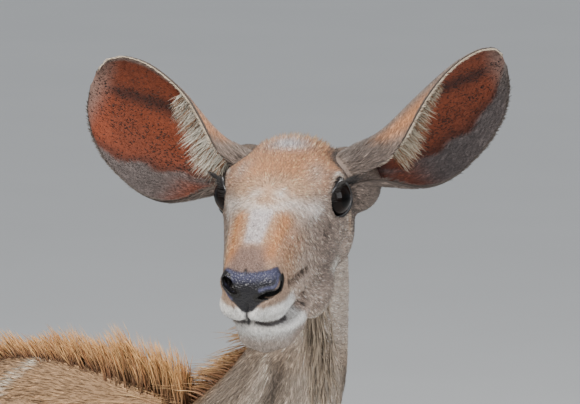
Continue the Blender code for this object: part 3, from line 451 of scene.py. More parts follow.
def shapeFace(points, normals):
    # points of the head's own frame, each step on the shape that the last one left
    mirror = np.array((1, -1, 1))
    x, y, z = points.T
    narrow = face["muzzleNarrow"] * ramp(x, 0.105, 0.165) * ramp(-y, 0.0, 0.02)
    full = face["cheekFull"] * hump(x, 0.000, 0.075) * hump(z, -0.045, 0.045) * ramp(y, 0.02, 0.05)
    points = np.column_stack([x, y * (1 - narrow) + full, z])
    mouth = mouthPath()
    mouth[:, 1] *= 1 - face["muzzleNarrow"] * ramp(mouth[:, 0], 0.105, 0.165) * ramp(-mouth[:, 1], 0.0, 0.02)
    laid = snapped(points, mouth)
    sway = np.array(face["jawSwing"]) * 0.156
    face["mouthLine"] = np.concatenate([mouth, laid, (mouth + laid) / 2])[::2] + sway
    points = carve(points, normals, mouth, 0.0036, 0.0085)
    for ends in (laid[:18], laid[-18:]):
        points = carve(points, normals, ends, 0.0030, 0.0040)
    corner = np.array(face["mouthCorner"])
    for flip in (np.ones(3), mirror):
        points = carve(points, normals, np.array([corner + (0.006, -0.001, 0.001)]) * flip, 0.0060, 0.0045)
    points = carve(points, normals, mouth + np.array((0.003, 0, 0.0085)), 0.0052, -0.0016, 0.5)
    points = carve(points, normals, mouth + np.array((-0.003, 0, -0.0085)), 0.0052, -0.0014, 0.5)
    for flip in (np.ones(3), mirror):
        nostril = snapped(points, densePath(face["nostril"][int(flip[1])]))
        face["nostril"][int(flip[1])] = [tuple(spot) for spot in nostril[::5]] + [tuple(nostril[-1])]
        points = carve(points, normals, nostril + np.array((0.002, 0.0035, 0.0055)) * flip,
                       0.0044, -0.0022, 0.4)
        points = carve(points, normals, nostril + np.array((0.0, 0.003, -0.0065)) * flip,
                       0.0042, -0.0014, 0.4)
        eye = np.array(eyeCentre(1))
        lidFold = [(-0.027, 0.010, 0.004), (-0.017, 0.009, 0.0180), (-0.001, 0.0125, 0.0225),
                   (0.015, 0.0065, 0.0170), (0.024, -0.001, 0.0070)]
        points = carve(points, normals, densePath((np.array(lidFold) + eye) * flip), 0.0026, 0.0022, 0.5)
        tear = [(0.020, 0.052, -0.010), (0.034, 0.054, -0.016), (0.050, 0.052, -0.020),
                (0.070, 0.049, -0.022)]
        points = carve(points, normals, densePath(np.array(tear) * flip), 0.0060, 0.0030, 0.6)
        ridge = [(0.024, 0.052, 0.012), (0.050, 0.045, 0.014), (0.090, 0.037, 0.011), (0.135, 0.034, 0.006)]
        points = carve(points, normals, densePath(np.array(ridge) * flip), 0.0075, -0.0026, 0.6)
        crease = [(0.160, 0.040, -0.018), (0.145, 0.044, -0.024), (0.125, 0.046, -0.028),
                  (0.100, 0.049, -0.030)]
        line = snapped(points, densePath(np.array(crease) * flip))
        face["crease"][int(flip[1])] = line[::4] - np.array((0.0, 0.002 * flip[1], 0.0))
        points = carve(points, normals, line, 0.0050, 0.0052, 0.6)
        hollow = [(-0.050, 0.055, 0.020), (-0.065, 0.058, 0.010)]
        points = carve(points, normals, densePath(np.array(hollow) * flip), 0.014, 0.003, 0.0)
    groove = snapped(points, densePath([(0.209, 0.0, -0.022), (0.208, 0.0, -0.035), (0.206, 0.0, -0.045)]))
    points = carve(points, normals, groove, 0.0019, 0.0030, 0.3)
    front, corner = np.array(face["mouthFront"]), np.array(face["mouthCorner"])
    height = (front[2]
              + (corner[2] - front[2]) * np.clip((front[0] - points[:, 0]) / (front[0] - corner[0]), 0, 1.6))
    below = ramp(height + 0.004 - points[:, 2], 0, 0.016)
    ahead = np.clip((points[:, 0] + 0.06) / 0.22, 0, 1)
    return points + (below * ahead)[:, None] * np.array(face["jawSwing"])


def lidSpot(side, a, share=1.0, reach=None):
    # a point of the opening between the lids, a turning round it from the front corner
    gaze = eyeGaze(side)
    along = Vector((0.93, -0.30 * side, -0.32))
    along = (along - gaze * along.dot(gaze)).normalized()
    across = gaze.cross(along) * side
    ends = math.copysign(abs(math.cos(a)) ** 0.92, math.cos(a))
    spot = along * (0.0206 * share * ends) + across * (0.0184 * share * math.sin(a))
    radius = pose["eyeRadius"] if reach is None else reach
    return eyeCentre(side) + spot + gaze * math.sqrt(max(radius**2 - spot.length_squared, 0))


def eyeCutters():
    made = []
    for side in (1, -1):
        gaze = eyeGaze(side)
        ball = blob("socket", eyeCentre(side), (pose["eyeRadius"] + 0.0003,) * 3, matrix=headMatrix)
        rings = []
        for forward, share in ((-0.004, 0.96), (0.014, 1.04), (0.040, 1.5)):
            ring = []
            for k in range(48):
                spot = lidSpot(side, 2 * math.pi * k / 48, share)
                flat = spot - eyeCentre(side)
                flat -= gaze * flat.dot(gaze)
                ring.append(eyeCentre(side) + flat + gaze * (0.006 + forward))
            rings.append(ring)
        window = ringsObject("window", rings)
        window.data.transform(headMatrix)
        made += [ball, window]
    return made


def nostrilCutters():
    # a curved slot, widest near its outer end, that runs back into the nose
    made = []
    for side in (1, -1):
        path = densePath(face["nostril"][side], 15)
        inward = unit(np.array((-0.86, -0.34 * side, 0.05)))
        rings = []
        for k, spot in enumerate(path):
            share = k / (len(path) - 1)
            along = unit(path[min(k + 1, len(path) - 1)] - path[max(k - 1, 0)])
            across = unit(np.cross(along, inward))
            swell = math.sin(math.pi * (0.04 + 0.92 * share)) ** 0.7
            half = 0.0062 * swell * (1.05 - 0.30 * share)
            deep = 0.0030 + 0.0060 * swell
            rings.append([spot + inward * (deep - 0.0035 + deep * math.cos(a)) + across * (half * math.sin(a))
                          for a in (2 * math.pi * j / 20 for j in range(20))])
        slot = ringsObject("nostrilSlot", rings)
        slot.data.transform(headMatrix)
        made.append(slot)
    return made


# Feet

hoof = {"coronet": 0.052, "tilt": 0.35, "toe": 0.062, "heel": 0.030, "width": 0.0265, "gap": 0.0028}


def coronetZ(foot, x, lower=0.0):
    return hoof["coronet"] + hoof["tilt"] * (x - legStations(foot)[-2][0]) - lower


def footCutter(foot):
    x0, y0 = legStations(foot)[-2][:2]
    rings = []
    for y in (y0 - 0.06, y0 + 0.06):
        x1, x2 = x0 - 0.09, x0 + 0.09
        rings.append([(x1, y, -0.05), (x2, y, -0.05), (x2, y, coronetZ(foot, x2)),
                      (x1, y, coronetZ(foot, x1))])
    made = ringsObject("footCut", rings)
    made.data.transform(bodyMatrix)
    return made


skinPlan = {
    "voxel": 0.0036, "quickVoxel": 0.0048, "bodyInset": 0.0024, "faceInset": 0.0010, "triangles": 168000,
}


def cutFrom(thing, cutter, solver="MANIFOLD"):
    applied(thing, "BOOLEAN", operation="DIFFERENCE", object=cutter, solver=solver)
    bpy.data.objects.remove(cutter)


def makeSkin():
    pieces = [tube("trunk", trunkStations, 56, 6, 2.15), tube("neckTube", neckStations, 48, 10)]
    pieces.append(tube("tailTube", tailStations, 24))
    for foot in steps:
        pieces.append(tube("leg", legStations(foot), 36))
        if foot.startswith("hind"):
            side = 1 if foot.endswith("left") else -1
            pieces.append(tube("tendon", mirrored(stepped(tendonLine, steps[foot]), side), 20))
    pieces += muscles(1) + muscles(-1) + headPieces()
    skin = joined("skin", pieces)
    skin.data.transform(bodyMatrix)
    voxel = skinPlan["voxel"]
    applied(skin, "REMESH", mode="VOXEL", voxel_size=voxel, adaptivity=0.0)
    inHead = ramp(toHead(pointsOf(skin))[:, 0], -0.17, -0.11)
    inHead *= ramp(toBody(pointsOf(skin))[:, 2], 1.30, 1.36)
    group = skin.vertex_groups.new(name="body")
    for level in range(1, 11):
        chosen = np.nonzero(np.round((1 - inHead) * 10) == level)[0]
        group.add(chosen.tolist(), level / 10, "REPLACE")
    applied(skin, "SMOOTH", factor=0.5, iterations=5)
    applied(skin, "SMOOTH", factor=0.5, iterations=int(6 * (0.0075 / voxel) ** 2), vertex_group="body")

    # the muzzle gets finer faces before it is shaped
    work = bmesh.new()
    work.from_mesh(skin.data)
    centres = toHead(np.array([f.calc_center_median()[:] for f in work.faces]))
    muzzle = (centres[:, 0] > 0.085) & (centres[:, 2] > -0.13)
    around = np.linalg.norm(centres * np.array((1, 0, 1)) + np.abs(centres) * np.array((0, 1, 0))
                            - np.array(eyeCentre(1)), axis=1) < 0.040
    chosen = np.nonzero(muzzle | around)[0]
    work.faces.ensure_lookup_table()
    edges = {e for i in chosen for e in work.faces[i].edges}
    bmesh.ops.subdivide_edges(work, edges=list(edges), cuts=1, use_grid_fill=True)
    bmesh.ops.triangulate(work, faces=work.faces)
    work.to_mesh(skin.data)
    work.free()

    points, normals = pointsOf(skin), normalsOf(skin)
    local = toHead(points)
    inFace = (local[:, 0] > -0.12) & (local[:, 2] > -0.14) & (toBody(points)[:, 2] > 1.25)
    inFace &= local[:, 0] < 0.3
    shaped = shapeFace(local[inFace], normals[inFace] @ headTurnArray)
    points[inFace] = shaped @ headTurnArray.T + headPlaceArray
    setPoints(skin, points)
    faceShare = ramp(local[:, 0], -0.12, -0.04) * inFace
    inset = skinPlan["bodyInset"] * (1 - faceShare) + skinPlan["faceInset"] * faceShare
    setPoints(skin, points - normalsOf(skin) * inset[:, None])
    for cutter in eyeCutters() + nostrilCutters() + [footCutter(foot) for foot in steps]:
        cutFrom(skin, cutter)

    # the body needs fewer faces than the head
    points = pointsOf(skin)
    local = toHead(points)
    detail = ramp(local[:, 0], -0.15, -0.08) * ramp(toBody(points)[:, 2], 1.28, 1.34)
    keep = skin.vertex_groups.new(name="thin")
    for level in range(0, 11):
        chosen = np.nonzero(np.round((1 - detail) * 10) == level)[0]
        keep.add(chosen.tolist(), max(level / 10, 0.02), "REPLACE")
    count = len(skin.data.polygons)
    applied(skin, "DECIMATE", ratio=min(1.0, skinPlan["triangles"] / count), vertex_group="thin",
            vertex_group_factor=1.0)
    skin.vertex_groups.clear()
    smoothed(skin)
    print("skin", count, "faces thinned to", len(skin.data.polygons))
    return skin


# Colours of the coat: one set of markings, with painted shade and a painted sky reflection among them, that
# the skin and every tuft take from

tones = {
    "fawn": paint(178, 146, 114), "back": paint(168, 134, 100), "belly": paint(190, 170, 146),
    "neck": paint(150, 134, 119), "neckPale": paint(190, 175, 160), "streak": paint(92, 79, 68),
    "white": paint(228, 221, 208), "stripe": paint(222, 212, 194), "leg": paint(168, 130, 92),
    "shin": paint(186, 152, 114), "dark": paint(58, 44, 35), "black": paint(26, 22, 20),
    "cheek": paint(170, 150, 136), "pepper": paint(128, 112, 102), "orange": paint(182, 126, 84),
    "tan": paint(182, 146, 116), "greyPatch": paint(200, 193, 194), "chevron": paint(214, 200, 190),
    "bridge": paint(118, 97, 92), "lipWhite": paint(236, 233, 228), "noseBlack": paint(17, 16, 20),
    # the blue-grey nose tone on the next line is a painted reflection of the sky on the wet nose, not the
    # nose's own colour
    "noseSkyReflection": paint(56, 57, 80), "lip": paint(34, 28, 27), "crown": paint(196, 156, 118),
}
stripePlan = {"count": 9, "first": -0.02, "gap": 0.083, "half": 0.0075, "low": 0.83, "top": 1.20}


def stain(colour, mask, tone):
    return colour + (tone - colour) * np.clip(mask, 0, 1)[:, None]


def layered(colour, layers):
    # masks and tones, each laid over the last
    for mask, tone in layers:
        colour = stain(colour, mask, tone)
    return colour


def ripple(points, size, seed):
    # smooth values from -1 to 1 that drift over space, from a few crossed waves
    draw = np.random.default_rng(seed)
    total = np.zeros(len(points))
    for k in range(6):
        way = draw.normal(size=3)
        way *= 2 * math.pi / (size * draw.uniform(0.7, 1.6) * np.linalg.norm(way))
        total += np.sin(points @ way + draw.uniform(0, 6.28))
    return total / 3.0


def pathGap(points, path):
    path = densePath(path, 30)
    gaps = np.full(len(points), 9.0)
    for spot in path:
        gaps = np.minimum(gaps, np.linalg.norm(points - spot, axis=1))
    return gaps


# the neck's own frame at so many places to a station
neckEach, neckLast = 20, len(neckStations) - 1
neckFrames = [stationFrame(neckStations, t) for t in np.linspace(0, neckLast, neckLast * neckEach + 1)]
neckLine, neckAlong = np.array([f[0] for f in neckFrames]), np.array([f[2] for f in neckFrames])
neckFront = -np.array([f[4] for f in neckFrames])


def neckPlace(b):
    # station number along the neck, and the turn round it from the throat
    near = np.empty(len(b), int)
    many = 20000
    for low in range(0, len(b), many):
        part = b[low:low + many]
        near[low:low + many] = np.linalg.norm(part[:, None] - neckLine[None], axis=2).argmin(1)
    away = b - neckLine[near]
    front = (away * neckFront[near]).sum(1)
    side = (away * np.cross(neckAlong[near], neckFront[near])).sum(1)
    return near / neckEach, np.arctan2(side, front), near


def shares(b, h):
    # how much each point belongs to head, neck, tail and leg; the rest is the trunk
    head = ramp(h[:, 0], -0.135, -0.105) * ramp(b[:, 2], 1.27, 1.32)
    beyond = (b[:, 0] - 0.222) * 0.934 + (b[:, 2] - 1.215) * 0.355
    neck = ramp(beyond, -0.03, 0.05) * (1 - head)
    tail = ramp(-b[:, 0], 0.900, 0.915) * (np.abs(b[:, 1]) < 0.06) * (b[:, 2] < 1.10)
    leg = ramp(0.80 - b[:, 2], 0.0, 0.08) * (np.abs(b[:, 1]) > 0.03)
    return head, neck, tail, leg * (1 - tail)


def bodyTone(b, n):
    x, y, z = b.T
    colour = np.tile(tones["fawn"], (len(b), 1))
    colour = layered(colour, [
        (ramp(z, 1.02, 1.20), tones["back"]),
        (ramp(0.86 - z, 0.0, 0.12) * ramp(-n[:, 2], -0.2, 0.7), tones["belly"]),
        (0.5 + 0.5 * ripple(b, 0.16, 5) - 0.35, tones["back"] * 0.9),
    ])
    neckT, turn, _ = neckPlace(b)
    _, neck, _, leg = shares(b, toHead(b + shiftArray))
    neckColour = np.tile(tones["neck"], (len(b), 1))
    neckColour = layered(neckColour, [
        (hump(turn, 0.0, 0.55), tones["neckPale"]),
        (hump(turn + 0.12 * np.sin(neckT * 3), 0.75, 0.22) * 0.95, tones["streak"] * 0.8),
        (hump(turn + 0.10 * np.sin(neckT * 2), -0.80, 0.22) * 0.95, tones["streak"] * 0.8),
        (hump(turn, -1.25, 0.26) * 0.9, tones["neckPale"] * 1.08),
        (ramp(np.abs(turn), 2.3, 2.9), tones["back"] * 0.8),
    ])
    colour = colour + (neckColour - colour) * neck[:, None]

    # thin white stripes down the flanks, and the pale line of the back
    p = stripePlan
    draw = np.random.default_rng(4)
    for k in range(p["count"]):
        place = p["first"] - p["gap"] * k + draw.uniform(-0.012, 0.012)
        lean, low = draw.uniform(-0.05, 0.07), p["low"] + draw.uniform(-0.02, 0.07) + 0.012 * abs(k - 3)
        for side in (1, -1):
            bend = draw.uniform(0.004, 0.012)
            middle = place + lean * (1.15 - z) + bend * np.sin(z * 21 + k * 2.1 + side)
            half = p["half"] * draw.uniform(0.75, 1.2)
            mask = hump(x, middle, half) * ramp(z, low, low + 0.05) * (y * side > 0) * draw.uniform(0.7, 0.95)
            colour = stain(colour, mask * (x > -0.89), tones["stripe"])
    back = hump(y, 0.0, 0.012) * ramp(n[:, 2], 0.5, 0.9) * ramp(-x, 0.05, 0.20) * (x > -0.90)
    colour = stain(colour, back * 0.8, tones["white"])
    colour = stain(colour, hump(y, 0.0, 0.022) * ramp(-n[:, 2], 0.4, 0.8) * 0.5, tones["dark"] * 1.6)

    # legs: tawny outside, pale inside, dark patches above the knees and on the pasterns
    legColour = np.tile(tones["leg"], (len(b), 1))
    inside = np.clip(-n[:, 1] * np.sign(y), 0, 1)
    legColour = stain(legColour, inside * 0.8, tones["belly"])
    legColour = stain(legColour, ramp(0.42 - z, 0.0, 0.12), tones["shin"])
    fore = x > -0.2
    garter = hump(z, 0.545, 0.050) * np.clip(inside * 1.2 + ramp(n[:, 0], 0.0, 0.8) * 0.45, 0, 1) * fore
    legColour = stain(legColour, garter * 0.9, tones["dark"])
    hockDark = hump(z, 0.50, 0.05) * ramp(n[:, 0], 0.3, 1.0) * ~fore
    legColour = stain(legColour, hockDark * 0.5, tones["dark"])
    heel = ramp(0.185 - z, 0.0, 0.04) * ramp(-n[:, 0], -0.35, 0.45)
    legColour = stain(legColour, heel * 0.92, tones["dark"])
    legColour = stain(legColour, hump(z, 0.094, 0.012) * 0.7, tones["dark"])
    spots = hump(z, 0.118, 0.013) * ramp(n[:, 0], 0.1, 0.6) * np.clip(np.abs(n[:, 1]) * 2.2, 0.1, 1)
    legColour = stain(legColour, spots, tones["white"])
    legColour = stain(legColour, ramp(0.068 - z, 0.0, 0.015) * 0.85, tones["black"] * 1.5)
    return colour + (legColour - colour) * leg[:, None]


def noseMask(h):
    x, y, z = h.T
    s = np.where(y > 0, y, -y / (1 - face["muzzleNarrow"]) * 1.06)
    width = np.interp(z, [-0.034, -0.028, -0.021, -0.014, -0.004, 0.004, 0.010, 0.014],
                      [0.004, 0.010, 0.0165, 0.025, 0.0355, 0.0365, 0.029, 0.016])
    pad = ramp(width - s, -0.0015, 0.0018) * ramp(0.0125 - z + 0.10 * (x - 0.19), 0.0, 0.003)
    pad *= ramp(x, 0.172, 0.178) * ramp(z, -0.034, -0.030)
    groove = hump(y, 0, 0.0022) * ramp(x, 0.19, 0.195) * ramp(z, -0.052, -0.048) * (z < -0.028)
    return np.clip(pad + groove, 0, 1)


def lipGap(h):
    # how far each point is from the line between the lips
    line = face["mouthLine"]
    gap = np.full(len(h), 9.0)
    for spot in np.concatenate([line, (line[1:] + line[:-1]) / 2]):
        gap = np.minimum(gap, np.linalg.norm(h - spot, axis=1))
    front, corner = face["mouthFront"], face["mouthCorner"]
    share = np.clip((front[0] - h[:, 0]) / (front[0] - corner[0]), 0, 1)
    height = front[2] + (corner[2] - front[2]) * share - 0.0005
    sides = (share < 0.93) & (share > 0.16) & (np.abs(h[:, 1]) > 0.022)
    return np.where(sides, np.minimum(gap, np.abs(h[:, 2] - height) + 0.0022), gap)


def headTone(h):
    x, y, z = h.T
    s = np.abs(y)
    colour = np.tile(tones["cheek"], (len(h), 1))
    colour = stain(colour, hump(x, 0.045, 0.040) * ramp(0.020 - z, 0.0, 0.030), tones["pepper"])
    colour = stain(colour, ramp(x, 0.10, 0.15) * 0.6 * ramp(z, -0.045, -0.01), tones["tan"] * 0.92)
    top = ramp(z - 0.25 * s, 0.006, 0.024)
    colour = stain(colour, top, tones["tan"])
    crown = ramp(z, 0.010, 0.030) * ramp(0.045 - x, 0.0, 0.03)
    colour = layered(colour, [
        (crown * 0.85, tones["orange"]),
        (ramp(-x, 0.060, 0.090) * ramp(z, -0.03, 0.0), tones["crown"]),
        (hump(x, -0.048, 0.016) * hump(y, 0.0, 0.020) * (z > 0), tones["greyPatch"]),
    ])
    brow = hump(x, 0.010, 0.026) * hump(s, 0.042, 0.012) * (z > 0.012)
    colour = stain(colour, brow * 0.7, tones["cheek"])
    temple = ramp(-x, 0.022, 0.050) * ramp(s, 0.030, 0.046) * ramp(0.034 - z, 0.0, 0.012)
    colour = stain(colour, temple * 0.9, tones["pepper"] * 0.32)
    colour = stain(colour, ramp(-z, -0.004, 0.02) * ramp(-x, 0.03, 0.06) * 0.35, tones["pepper"])

    # pale chevron between the eyes, the grey-white patch under it, and the orange beside it
    apex = 0.094 - 0.95 * np.clip(s - 0.006, 0, 1)
    bar = hump(x, apex, 0.011) * (z > 0.006) * ramp(0.058 - s, 0.0, 0.008)
    colour = stain(colour, bar * (0.80 + 0.15 * ripple(h, 0.03, 8)), tones["chevron"])
    blotch = hump(x, 0.064, 0.010) * hump(s, 0.013, 0.008) * (z > 0)
    colour = stain(colour, blotch * 0.75, tones["chevron"])
    patch = (ramp(x, 0.088, 0.100) * ramp(0.166 - x, 0.0, 0.018)
             * ramp(0.0165 - 0.05 * (x - 0.09) - s, 0.0, 0.008))
    colour = stain(colour, patch * (z > 0) * 0.85, tones["greyPatch"])
    under = ramp(x, 0.150, 0.170) * ramp(0.026 - s, 0.0, 0.010) * (z > 0)
    colour = stain(colour, under * 0.8, tones["bridge"])
    flank = ramp(x, 0.082, 0.100) * ramp(0.190 - x, 0.0, 0.03) * hump(s, 0.0265 - 0.06 * (x - 0.09), 0.0075)
    colour = stain(colour, flank * (z > 0.0) * 0.9, tones["orange"])
    warm = ramp(x, 0.07, 0.11) * ramp(0.175 - x, 0.0, 0.03) * hump(z, 0.004, 0.013) * (s > 0.03)
    colour = stain(colour, warm * 0.45, tones["orange"] * 1.05)

    # round the eyes
    for side in (1, -1):
        near = h - np.array(eyeCentre(side))
        gap = np.linalg.norm(near, axis=1)
        ring = ramp(0.0335 - gap, 0.0, 0.006)
        colour = stain(colour, ring * 0.55, tones["pepper"] * 0.8)
        lidTop = (hump(gap, 0.0276, 0.0015) * ramp(near[:, 2], 0.012, 0.018)
                  * ramp(near[:, 1] * side, 0.001, 0.008))
        colour = stain(colour, lidTop * 0.85, tones["white"])
        colour = stain(colour, ramp(0.0262 - gap, 0.0, 0.0010), tones["black"] * 0.7)
        post = hump(near[:, 0], -0.024, 0.006) * ramp(0.006 - near[:, 2], 0, 0.01) * (gap < 0.06)
        colour = stain(colour, post * 0.7, tones["tan"] * 1.15)
        tear = pathGap(h, [(0.020, 0.055 * side, -0.004), (0.034, 0.055 * side, -0.012),
                           (0.050, 0.054 * side, -0.017)])
        colour = stain(colour, ramp(0.006 - tear, 0, 0.004) * 0.8, tones["dark"])
        spot = hump(x, 0.030, 0.016) * hump(z, -0.066, 0.007) * (y * side > 0)
        colour = stain(colour, spot * 0.75, tones["white"])
        # painted shade in the carved crease behind the mouth corner
        crease = np.linalg.norm(h[:, None, :] - face["crease"][side][None, :, :], axis=2).min(1)
        colour = stain(colour, ramp(0.0072 - crease, 0, 0.0055) * 0.9, tones["dark"])

    # lips and chin
    front, corner = np.array(face["mouthFront"]), np.array(face["mouthCorner"])
    mouthZ = front[2] + (corner[2] - front[2]) * np.clip((front[0] - x) / (front[0] - corner[0]), 0, 1.5)
    above = z - mouthZ
    upper = ramp(x, 0.146, 0.166) * ramp(0.0215 - above, 0.0, 0.006) * (above > -0.004)
    lower = ramp(x, 0.142, 0.160) * (above < 0) * ramp(0.215 - x, -0.1, 0.0)
    colour = stain(colour, np.clip(upper + lower, 0, 1), tones["lipWhite"])
    # darker brown on the side of the chin below the mouth: partly the hair's own colour, partly painted shade
    chinSide = ramp(y - 0.018, 0.0, 0.012) * ramp(-above, 0.012, 0.020) * ramp(0.192 - x, 0.0, 0.02)
    colour = stain(colour, chinSide * 0.8, tones["cheek"] * 0.62)
    chinLow = ramp(-above, 0.010, 0.030) * ramp(x, 0.13, 0.16)
    colour = stain(colour, chinLow * 0.85, tones["cheek"] * 0.8)
    gap = lipGap(h)
    # painted shadow: a dark band just under the mouth line, where the upper lip shades the lower
    colour = stain(colour, ramp(0.0088 - gap, 0.0, 0.0060) * (above < 0.001) * 0.55, tones["dark"] * 1.6)
    colour = stain(colour, ramp(0.0042 - gap, 0.0, 0.0016), tones["lip"])
    philtrum = hump(y, 0.0, 0.0020) * ramp(x, 0.190, 0.196) * ramp(z, -0.052, -0.048)
    colour = stain(colour, philtrum, tones["lip"] * 0.6)
    corners = np.linalg.norm(np.column_stack([x, s, z]) - (corner + np.array((0.006, 0.0, 0.0))), axis=1)
    colour = stain(colour, ramp(0.0085 - corners, 0.0, 0.003) * 0.9, tones["lip"])
    under = ramp(-z, 0.080, 0.094) * ramp(0.13 - x, 0.0, 0.03)
    colour = stain(colour, under * 0.6, tones["neckPale"])

    # nose pad: black, with a painted sky reflection in blue-grey on top and round the rims, and painted shade
    # inside the nostrils
    nose = noseMask(h)
    colour = stain(colour, nose, tones["noseBlack"])
    # painted sky reflection on the top of the nose pad
    colour = stain(colour, nose * ramp(z, -0.002, 0.009) * 0.75, tones["noseSkyReflection"])
    for side in (1, -1):
        gap = pathGap(h, face["nostril"][side])
        # painted sky reflection along the raised rims of the nostrils
        rim = hump(gap, 0.0084, 0.0016) * nose * (s > 0.014)
        colour = stain(colour, rim * 0.7, tones["noseSkyReflection"] * 1.3)
        # painted shade: black inside the nostril openings, and on the inner wall below each nostril
        colour = stain(colour, ramp(0.0060 - gap, 0.0, 0.0012) * (x > 0.165), tones["black"] * 0.3)
        inner = pathGap(h, np.array(face["nostril"][side]) - np.array((0.009, 0.0035 * side, -0.0005)))
        below = z < face["nostril"][side][0][2] + 0.0045
        colour = stain(colour, ramp(0.0085 - inner, 0.0, 0.002) * below * (gap > 0.004) * (gap > inner),
                       tones["black"] * 0.3)
    return colour


def coatTone(points, normals):
    b, h = toBody(points), toHead(points)
    colour = bodyTone(b, normals)
    head = shares(b, h)[0]
    some = head > 0
    if some.any():
        near = headTone(h[some])
        colour[some] += (near - colour[some]) * head[some][:, None]
    return colour


# Strands: closed three-sided blades that taper to a point, many to a mesh


def attribute(data, name, kind, values):
    made = data.attributes.new(name, kind, "POINT")
    if kind == "FLOAT_COLOR":
        values = np.column_stack([values, np.ones(len(values))])
        made.data.foreach_set("color", values.astype(np.float32).ravel())
    elif kind == "FLOAT_VECTOR":
        made.data.foreach_set("vector", values.astype(np.float32).ravel())
    else:
        made.data.foreach_set("value", values.astype(np.float32).ravel())


def strands(name, paths, side, wide, tone, tipTone, rootUv, seed, thick=0.38, shape=None, tipPower=1.4):
    n, k = paths.shape[:2]
    draw = np.random.default_rng(seed)
    tangent = unit(np.gradient(paths, axis=1))
    side = np.repeat(side[:, None, :], k, axis=1) if side.ndim == 2 else side
    side = unit(side - tangent * (side * tangent).sum(2, keepdims=True))
    up = np.cross(tangent, side)
    shape = np.array(shape if shape is not None else np.linspace(0.85, 1.0, k - 1))
    half = (np.asarray(wide)[:, None] * shape[None, :] / 2)[:, :, None]
    body = paths[:, :-1]
    a, b = body - side[:, :-1] * half, body + side[:, :-1] * half
    c = body + up[:, :-1] * half * 2 * thick
    ring = np.stack([a, b, c], axis=2).reshape(n, 3 * (k - 1), 3)
    verts = np.concatenate([ring, paths[:, -1:]], axis=1)
    each = verts.shape[1]
    tris = [(0, 2, 1)]
    for r in range(k - 2):
        for i, j in ((0, 1), (1, 2), (2, 0)):
            p, q = 3 * r + i, 3 * r + j
            tris += [(p, q, q + 3), (p, q + 3, p + 3)]
    last = 3 * (k - 2)
    tris += [(last, last + 1, each - 1), (last + 1, last + 2, each - 1), (last + 2, last, each - 1)]
    tris = (np.array(tris)[None] + (np.arange(n) * each)[:, None, None]).reshape(-1, 3)

    data = bpy.data.meshes.new(name)
    data.vertices.add(n * each)
    data.vertices.foreach_set("co", verts.astype(np.float32).ravel())
    data.loops.add(len(tris) * 3)
    data.loops.foreach_set("vertex_index", tris.astype(np.int32).ravel())
    data.polygons.add(len(tris))
    data.polygons.foreach_set("loop_start", (np.arange(len(tris)) * 3).astype(np.int32))
    data.polygons.foreach_set("use_smooth", np.ones(len(tris), bool))
    data.update(calc_edges=True)

    reach = np.append(np.repeat(np.linspace(0, 1, k)[:-1], 3), 1.0)
    across = np.append(np.tile((-1.0, 1.0, 0.0), k - 1), 0.0)
    chance = draw.uniform(0, 1, n)
    strand = np.stack([np.tile(across, (n, 1)), np.tile(reach, (n, 1)),
                       np.tile(chance[:, None], (1, each))], axis=2)
    attribute(data, "strand", "FLOAT_VECTOR", strand.reshape(-1, 3))
    mix = (reach**tipPower)[None, :, None]
    colour = tone[:, None, :] * (1 - mix) + tipTone[:, None, :] * mix
    attribute(data, "tone", "FLOAT_COLOR", np.clip(colour, 0, 1).reshape(-1, 3))
    spread = np.stack([np.tile(across, (n, 1)) * 0.0013, np.tile(reach, (n, 1)) * 0.0026], axis=2)
    flat = (np.clip(rootUv, 0.004, 0.992)[:, None, :] + spread).reshape(-1, 2)
    layer = data.uv_layers.new(name="OFBake")
    layer.data.foreach_set("uv", flat[tris.ravel()].astype(np.float32).ravel())
    made = bpy.data.objects.new(name, data)
    bpy.context.scene.collection.objects.link(made)
    print(name, n, "strands", len(tris), "triangles")
    return made


def nearestOn(tree, points):
    spots, ways = np.empty_like(points), np.empty_like(points)
    for i, p in enumerate(points):
        spot, way, _, _ = tree.find_nearest(p)
        spots[i], ways[i] = spot, way
    return spots, ways


def trianglesOf(thing):
    data = thing.data
    data.calc_loop_triangles()
    tris = np.empty(len(data.loop_triangles) * 3, np.int32)
    data.loop_triangles.foreach_get("vertices", tris)
    return tris.reshape(-1, 3)


def scattered(thing, density, seed):
    # roots spread evenly over the faces, so many to the square metre
    points, normals, tris = pointsOf(thing), normalsOf(thing), trianglesOf(thing)
    corners = points[tris]
    area = np.linalg.norm(np.cross(corners[:, 1] - corners[:, 0], corners[:, 2] - corners[:, 0]), axis=1) / 2
    centre = corners.mean(1)
    many = area * density(centre, unit(normals[tris].mean(1)))
    cell = np.floor((centre - centre.min(0)) / 0.012).astype(np.int64)
    order = np.lexsort((cell[:, 0] * np.where(cell[:, 1] % 2, 1, -1), cell[:, 1], cell[:, 2]))
    total = np.cumsum(many[order])
    draw = np.random.default_rng(seed)
    picks = np.arange(0.5, total[-1], 1.0)
    face = order[np.searchsorted(total, picks)]
    u, v = draw.uniform(0, 1, (2, len(face)))
    over = u + v > 1
    u[over], v[over] = 1 - u[over], 1 - v[over]
    weights = np.column_stack([1 - u - v, u, v])
    spot = (points[tris[face]] * weights[:, :, None]).sum(1)
    way = unit((normals[tris[face]] * weights[:, :, None]).sum(1))
    return spot, way


# The coat's lie, length, width and lift

whorl = np.array((0.055, 0.0, 0.042))
coatPlan = {
    "trunkLength": 0.022, "trunkWide": 0.0029, "neckLength": 0.018, "neckWide": 0.0016,
    "legLength": 0.0125, "legWide": 0.0019, "cheekLength": 0.0066, "cheekWide": 0.00105,
    "noseLength": 0.0040, "crownLength": 0.015,
    "trunkMany": 46000, "neckMany": 180000, "legMany": 60000, "headMany": 740000, "footMany": 110000,
}


def blended(value, target, share):
    return value + (target - value) * share


def steered(way, target, share):
    return way * (1 - share)[:, None] + np.array(target) * share[:, None]


